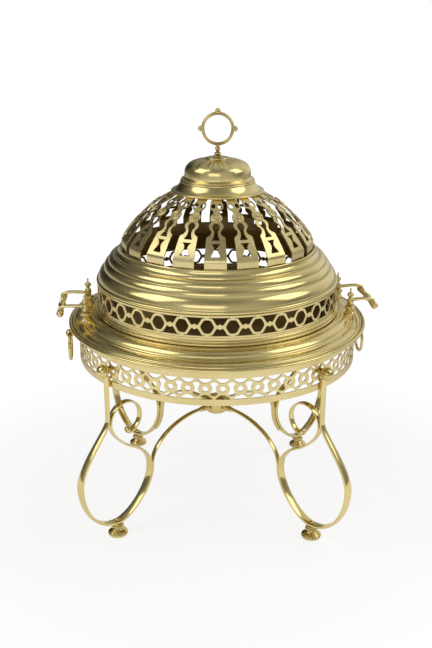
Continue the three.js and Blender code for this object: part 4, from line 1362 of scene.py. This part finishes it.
@dataclass
class Crown:
    """Bell cap, the ring finial on it and the nut that holds the finial."""

    leaves: int = 16
    chased_from: float = 20.5
    chased_to: float = 51.5
    ring_radius: float = 24.0
    stem_height: float = 17.5

    def __post_init__(self) -> None:
        """Reads the levels of the cap from the frame."""
        low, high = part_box("bell_cap")
        self.low, self.high = low.z / MM, high.z / MM

    def cap(self) -> Shape:
        """Builds the bell cap with the leaves chased round its shoulder.

        Returns:
            The cap in place.
        """
        low, high = self.low, self.high
        line = Outline(71.6, low).line(74.6, low).arc(74.6, low + 3.2, 1.1, 7).line(73.0, low + 3.4)
        line.curve([(69, low + 5.0), (65.0, low + 8.6), (62.0, low + 12.6), (60.4, low + 14.6)], 5)
        line.line(60.2, low + 15.2)
        line.arc(60.1, low + 18.0, 0.9, 6).line(59.2, low + 18.3).line(58.9, low + 18.8)
        line.arc(58.2, low + 21.2, 0.9, 6)
        line.line(56.4, low + 21.8).arc(54.2, low + 25.4, -0.9, 6).curve(
            [(54.0, low + 29), (53.4, low + 34), (51.6, low + 39), (48.0, low + 43.6), (42.6, low + 47.2),
             (35.6, low + 49.8), (28.4, low + 51.3), (21.0, low + 52.0)], 6)
        line.line(19.6, low + 52.3).arc(17.4, low + 54.2, 0.8, 5).line(15.0, high - 0.2).line(3.5, high)
        line.line(3.5, high - 1.6).line(17, high - 1.8)
        line.curve([(34, low + 48.0), (47, low + 42), (52, low + 32), (52.4, low + 25), (58.2, low + 14),
                    (66, low + 5.2)], 3)
        return revolve(line.points, 160)

    def _chase(self, shape: Shape) -> Shape:
        """Presses the leaves into the shoulder of the cap.

        Args:
            shape: The plain cap.

        Returns:
            The cap with its leaves.
        """
        pressed = []
        for corner in shape.corners:
            radius = math.hypot(corner.x, corner.y)
            chased = corner.z > self.low + 40 and self.chased_from < radius < self.chased_to
            ends = (radius - self.chased_from) / 6, (self.chased_to - radius) / 5
            share = min(1.0, *ends) if chased else 0.0
            phase = (math.atan2(corner.y, corner.x) * self.leaves / (2 * math.pi)) % 1.0
            across = abs(phase - 0.5) * 2
            tip = 1.0 - max(0.0, (radius - 34) / 17.5)
            edge = 1.0 if across < 0.25 + 0.75 * tip else 0.0
            vein = 1.0 if across < 0.10 else 0.0
            depth = share * (0.55 * edge * math.cos(across * math.pi / 2) - 0.5 * vein
                             + 0.12 * math.sin(radius * 2.2))
            pressed.append(corner + Vector((0, 0, 1.5 * depth - 0.9 * share)))
        return Shape(pressed, shape.faces)

    def finial(self) -> Shape:
        """Builds the finial: a turned stem, a double ring and three shells.

        Returns:
            The finial in place.
        """
        foot = self.high + SEAT_GAP
        level = foot + self.stem_height + 2.2 + self.ring_radius
        stem = Outline(0, foot - 12).line(3.0, foot - 12).line(3.0, foot).line(6.6, foot)
        stem.arc(6.4, foot + 1.8, 0.8, 5)
        stem.curve([(4.6, foot + 2.4), (4.0, foot + 3.2)], 3).arc(3.6, foot + 6.6, 2.0, 9)
        stem.line(2.6, foot + 7.2)
        stem.line(2.5, foot + 8.2).line(3.3, foot + 8.5).arc(3.3, foot + 9.8, 0.5, 4).line(2.6, foot + 10.2)
        stem.arc(2.6, foot + 14.8, 1.9, 9).line(2.2, foot + 15.4).line(3.2, foot + 16.2)
        stem.arc(2.8, foot + 18.4, 0.6, 4)
        stem.line(0, foot + 18.8)
        centre = Vector((0, 0, level))
        round_line = [Vector((x, 0, level + z)) for x, z in circle(0, 0, self.ring_radius, 96)]
        ring = Shape()
        for radius, shift in ((1.7, 0.75), (1.6, -1.2)):
            section = [(1.3 * x, y) for x, y in circle(0, 0, radius, 12)]
            moved = [point + (point - centre).normalized() * shift for point in round_line]
            ring += sweep(moved, section, Vector((0, 1, 0)), closed=True)
        shape = revolve(stem.points, 32) + ring
        for degrees in (0, 90, 180):
            place = Matrix.Translation((0, 0, level)) @ Matrix.Rotation(math.radians(90 - degrees), 4, "Y")
            shape += self._shell().moved(place @ Matrix.Translation((0, 0, self.ring_radius + 1.4)))
        return shape

    def _shell(self) -> Shape:
        """Builds a fan of small lobes on a collar, standing on the ring."""
        shape = revolve(Outline(0, -0.6).line(4.6, -0.6).arc(4.2, 1.2, 0.5, 4).line(0, 1.6).points, 20).moved(
            Matrix.Scale(0.62, 4, (0, 1, 0)))
        lobe = revolve(Outline(0, 0).curve([(1.0, 1.2), (1.35, 3.6), (1.1, 5.4), (0, 6.3)], 4).points, 12)
        for degrees in (-58, -30, 0, 30, 58):
            size = 1.0 - 0.0028 * abs(degrees)
            width = 1.45 * size
            lean = Matrix.Rotation(math.radians(degrees), 4, "Y")
            place = Matrix.Translation((0, 0, 0.6)) @ lean @ Matrix.Diagonal((width, width, size, 1))
            shape += lobe.moved(place)
        return shape

    def dress(self, workshop: Workshop) -> None:
        """Makes the cap, the finial and the nut."""
        # Undersides inside the cap take the dark finish: soot and painted shade.
        workshop.piece("chased_bell_cap", self._chase(self.cap()), SPUN, "lid", ["bell_cap"],
                       soot_and_shade=lambda centre, normal: normal.z < -0.35 and centre.z > self.low + 1.0)
        workshop.piece("shell_ring_finial", self.finial(), CAST, "lid", ["ring_finial"])
        top = self.high - 1.9
        nut = Outline(3.8, top - 5).line(7.4, top - 5).line(7.9, top - 4.4).line(7.9, top - 0.6)
        nut.line(7.4, top).line(3.8, top)
        workshop.piece("hexagon_nut", revolve(nut.points, 6), CAST, "lid", ["finial_nut"], bevel=0.3)


# -------------------------------------------------------------------------------------- studio


@dataclass
class Softbox:
    """A large soft lamp."""

    name: str
    place: tuple[float, float, float]
    width: float
    height: float
    watts: float

    def hang(self) -> None:
        """Hangs the lamp, turned to the middle of the object."""
        lamp = bpy.data.lights.new(self.name, "AREA")
        lamp.shape = "RECTANGLE"
        lamp.size, lamp.size_y, lamp.energy = self.width, self.height, self.watts
        holder = bpy.data.objects.new(self.name, lamp)
        holder.location = self.place
        away = Vector(self.place) - Vector((0, 0, 0.38))
        holder.rotation_euler = away.to_track_quat("Z", "Y").to_euler()
        bpy.context.scene.collection.objects.link(holder)


@dataclass
class Studio:
    """Floor, surroundings, lamps and camera.

    Each glow of the floor is a range in metres and the strength at its two ends: floor_glow over the
    distance from the object as the camera sees it, and mirrored_glow over the depth as brass mirrors it.
    A shade is a direction, a sharpness and how much the surroundings gain or lose there.
    """

    lens: float = 47.67
    pitch: float = 19.75
    azimuth: float = 1.0
    roll: float = 0.25
    distance: float = 1.474
    aim: tuple[float, float, float] = (-0.0016, 0.0, 0.3151)
    floor_size: float = 12.0
    floor_paint: Colour = (0.9, 0.9, 0.9)
    floor_seen: Colour = (0.3, 0.3, 0.3)
    floor_glow: tuple[float, float, float, float] = (0.4, 1.4, 0.80, 1.0)
    mirrored_glow: tuple[float, float, float, float] = (-0.1, 0.6, 0.34, 0.0)
    surround_level: float = 0.46
    lamps: tuple[Softbox, ...] = (
        Softbox("left_softbox", (-1.75, -0.55, 2.2), 1.5, 1.9, 12.5),
        Softbox("right_softbox", (1.9, -0.2, 2.1), 1.3, 1.8, 10.5),
        Softbox("front_softbox", (-0.5, -2.6, 1.3), 1.8, 1.0, 5.0),
    )
    shades: tuple[tuple[Colour, float, float], ...] = (
        ((0.0, -0.42, 0.91), 7.0, -0.24),
        ((-0.45, 0.84, 0.32), 3.0, -0.46),
        ((0.50, 0.82, 0.28), 4.0, 0.34),
        ((-1.0, -0.1, 0.1), 6.0, -0.28),
        ((1.0, -0.1, 0.1), 6.0, -0.26),
        ((0.0, 0.55, 0.84), 12.0, 0.10),
    )

    def camera(self) -> None:
        """Sets up the camera at the photograph's angle."""
        lens = bpy.data.cameras.new("camera")
        lens.lens = self.lens
        lens.sensor_width = 36.0
        lens.clip_start = 0.05
        holder = bpy.data.objects.new("camera", lens)
        turn, tilt = math.radians(-90 + self.azimuth), math.radians(self.pitch)
        away = Vector((math.cos(tilt) * math.cos(turn), math.cos(tilt) * math.sin(turn), math.sin(tilt)))
        rolled = Matrix.Rotation(math.radians(self.roll), 4, "Z")
        holder.matrix_world = facing(Vector(self.aim) + away * self.distance, away) @ rolled
        bpy.context.scene.collection.objects.link(holder)
        bpy.context.scene.camera = holder

    def floor(self) -> None:
        """Lays the pale floor, which the camera sees as white where no shadow falls."""
        half = self.floor_size / 2
        mesh = bpy.data.meshes.new("floor")
        corners = [(x * half, y * half, 0) for x, y in ((-1, -1), (1, -1), (1, 1), (-1, 1))]
        mesh.from_pydata(corners, [], [(0, 1, 2, 3)])
        material = bpy.data.materials.new("pale_floor")
        material.use_nodes = True
        tree = material.node_tree
        shader = tree.nodes["Principled BSDF"]
        shader.inputs["Roughness"].default_value = 0.9
        shader.inputs["Specular IOR Level"].default_value = 0.0
        seen = tree.nodes.new("ShaderNodeLightPath").outputs
        paint = mix(tree, seen["Is Camera Ray"], self.floor_paint, self.floor_seen)
        tree.links.new(paint, shader.inputs["Base Color"])
        spot = tree.nodes.new("ShaderNodeTexCoord").outputs["Object"]
        depth = wired(tree, "ShaderNodeSeparateXYZ", {0: spot}).outputs[1]
        mirrored_light = span(tree, depth, *self.mirrored_glow)
        away = wired(tree, "ShaderNodeVectorMath", {0: spot}, "LENGTH").outputs["Value"]
        paler = span(tree, away, *self.floor_glow)
        lift = wired(tree, "ShaderNodeMath", {0: seen["Is Glossy Ray"], 1: mirrored_light}, "MULTIPLY")
        feeds = {0: seen["Is Camera Ray"], 1: paler, 2: lift.outputs[0]}
        glow = wired(tree, "ShaderNodeMath", feeds, "MULTIPLY_ADD")
        light = wired(tree, "ShaderNodeEmission", {"Strength": glow.outputs[0]}).outputs[0]
        both = wired(tree, "ShaderNodeAddShader", {0: shader.outputs[0], 1: light}).outputs[0]
        tree.links.new(both, tree.nodes["Material Output"].inputs["Surface"])
        mesh.materials.append(material)
        laid = bpy.data.objects.new("floor", mesh)
        bpy.context.scene.collection.objects.link(laid)

    def surroundings(self) -> None:
        """Sets the soft surroundings with their darker and paler parts, white to the camera."""
        world = bpy.data.worlds.new("studio")
        bpy.context.scene.world = world
        world.use_nodes = True
        tree = world.node_tree
        back = tree.nodes["Background"]
        way = tree.nodes.new("ShaderNodeTexCoord").outputs["Generated"]
        level: Feed = self.surround_level
        for centre, power, amount in self.shades:
            towards = Vector(centre).normalized()
            near = wired(tree, "ShaderNodeVectorMath", {0: way, 1: towards}, "DOT_PRODUCT").outputs["Value"]
            front = wired(tree, "ShaderNodeMath", {0: near, 1: 0.0}, "MAXIMUM").outputs[0]
            lobe = wired(tree, "ShaderNodeMath", {0: front, 1: power}, "POWER").outputs[0]
            level = wired(tree, "ShaderNodeMath", {0: lobe, 1: amount, 2: level}, "MULTIPLY_ADD").outputs[0]
        seen = tree.nodes.new("ShaderNodeLightPath").outputs["Is Camera Ray"]
        tree.links.new(mix(tree, seen, level, (1.0, 1.0, 1.0)), back.inputs["Color"])
        back.inputs["Strength"].default_value = 1.0

    def set_up(self) -> None:
        """Sets up the whole studio."""
        bpy.context.scene.view_settings.view_transform = "Standard"
        self.camera()
        self.floor()
        self.surroundings()
        for lamp in self.lamps:
            lamp.hang()


def main() -> None:
    """Builds the studio and every sub-assembly in order."""
    logging.basicConfig(level=logging.INFO, format="%(name)s %(message)s")
    Studio().set_up()
    workshop = Workshop()
    stand = (PiercedHoop(), ScrollLeg(), CentreHub(), DropRing())
    pan = (FirePan(), Handle())
    lid = (LidRings(), DomeRibs(), Crown())
    for part in (*stand, *pan, *lid):
        part.dress(workshop)
        LOG.info("%s done", type(part).__name__)


if __name__ == "__main__":
    main()
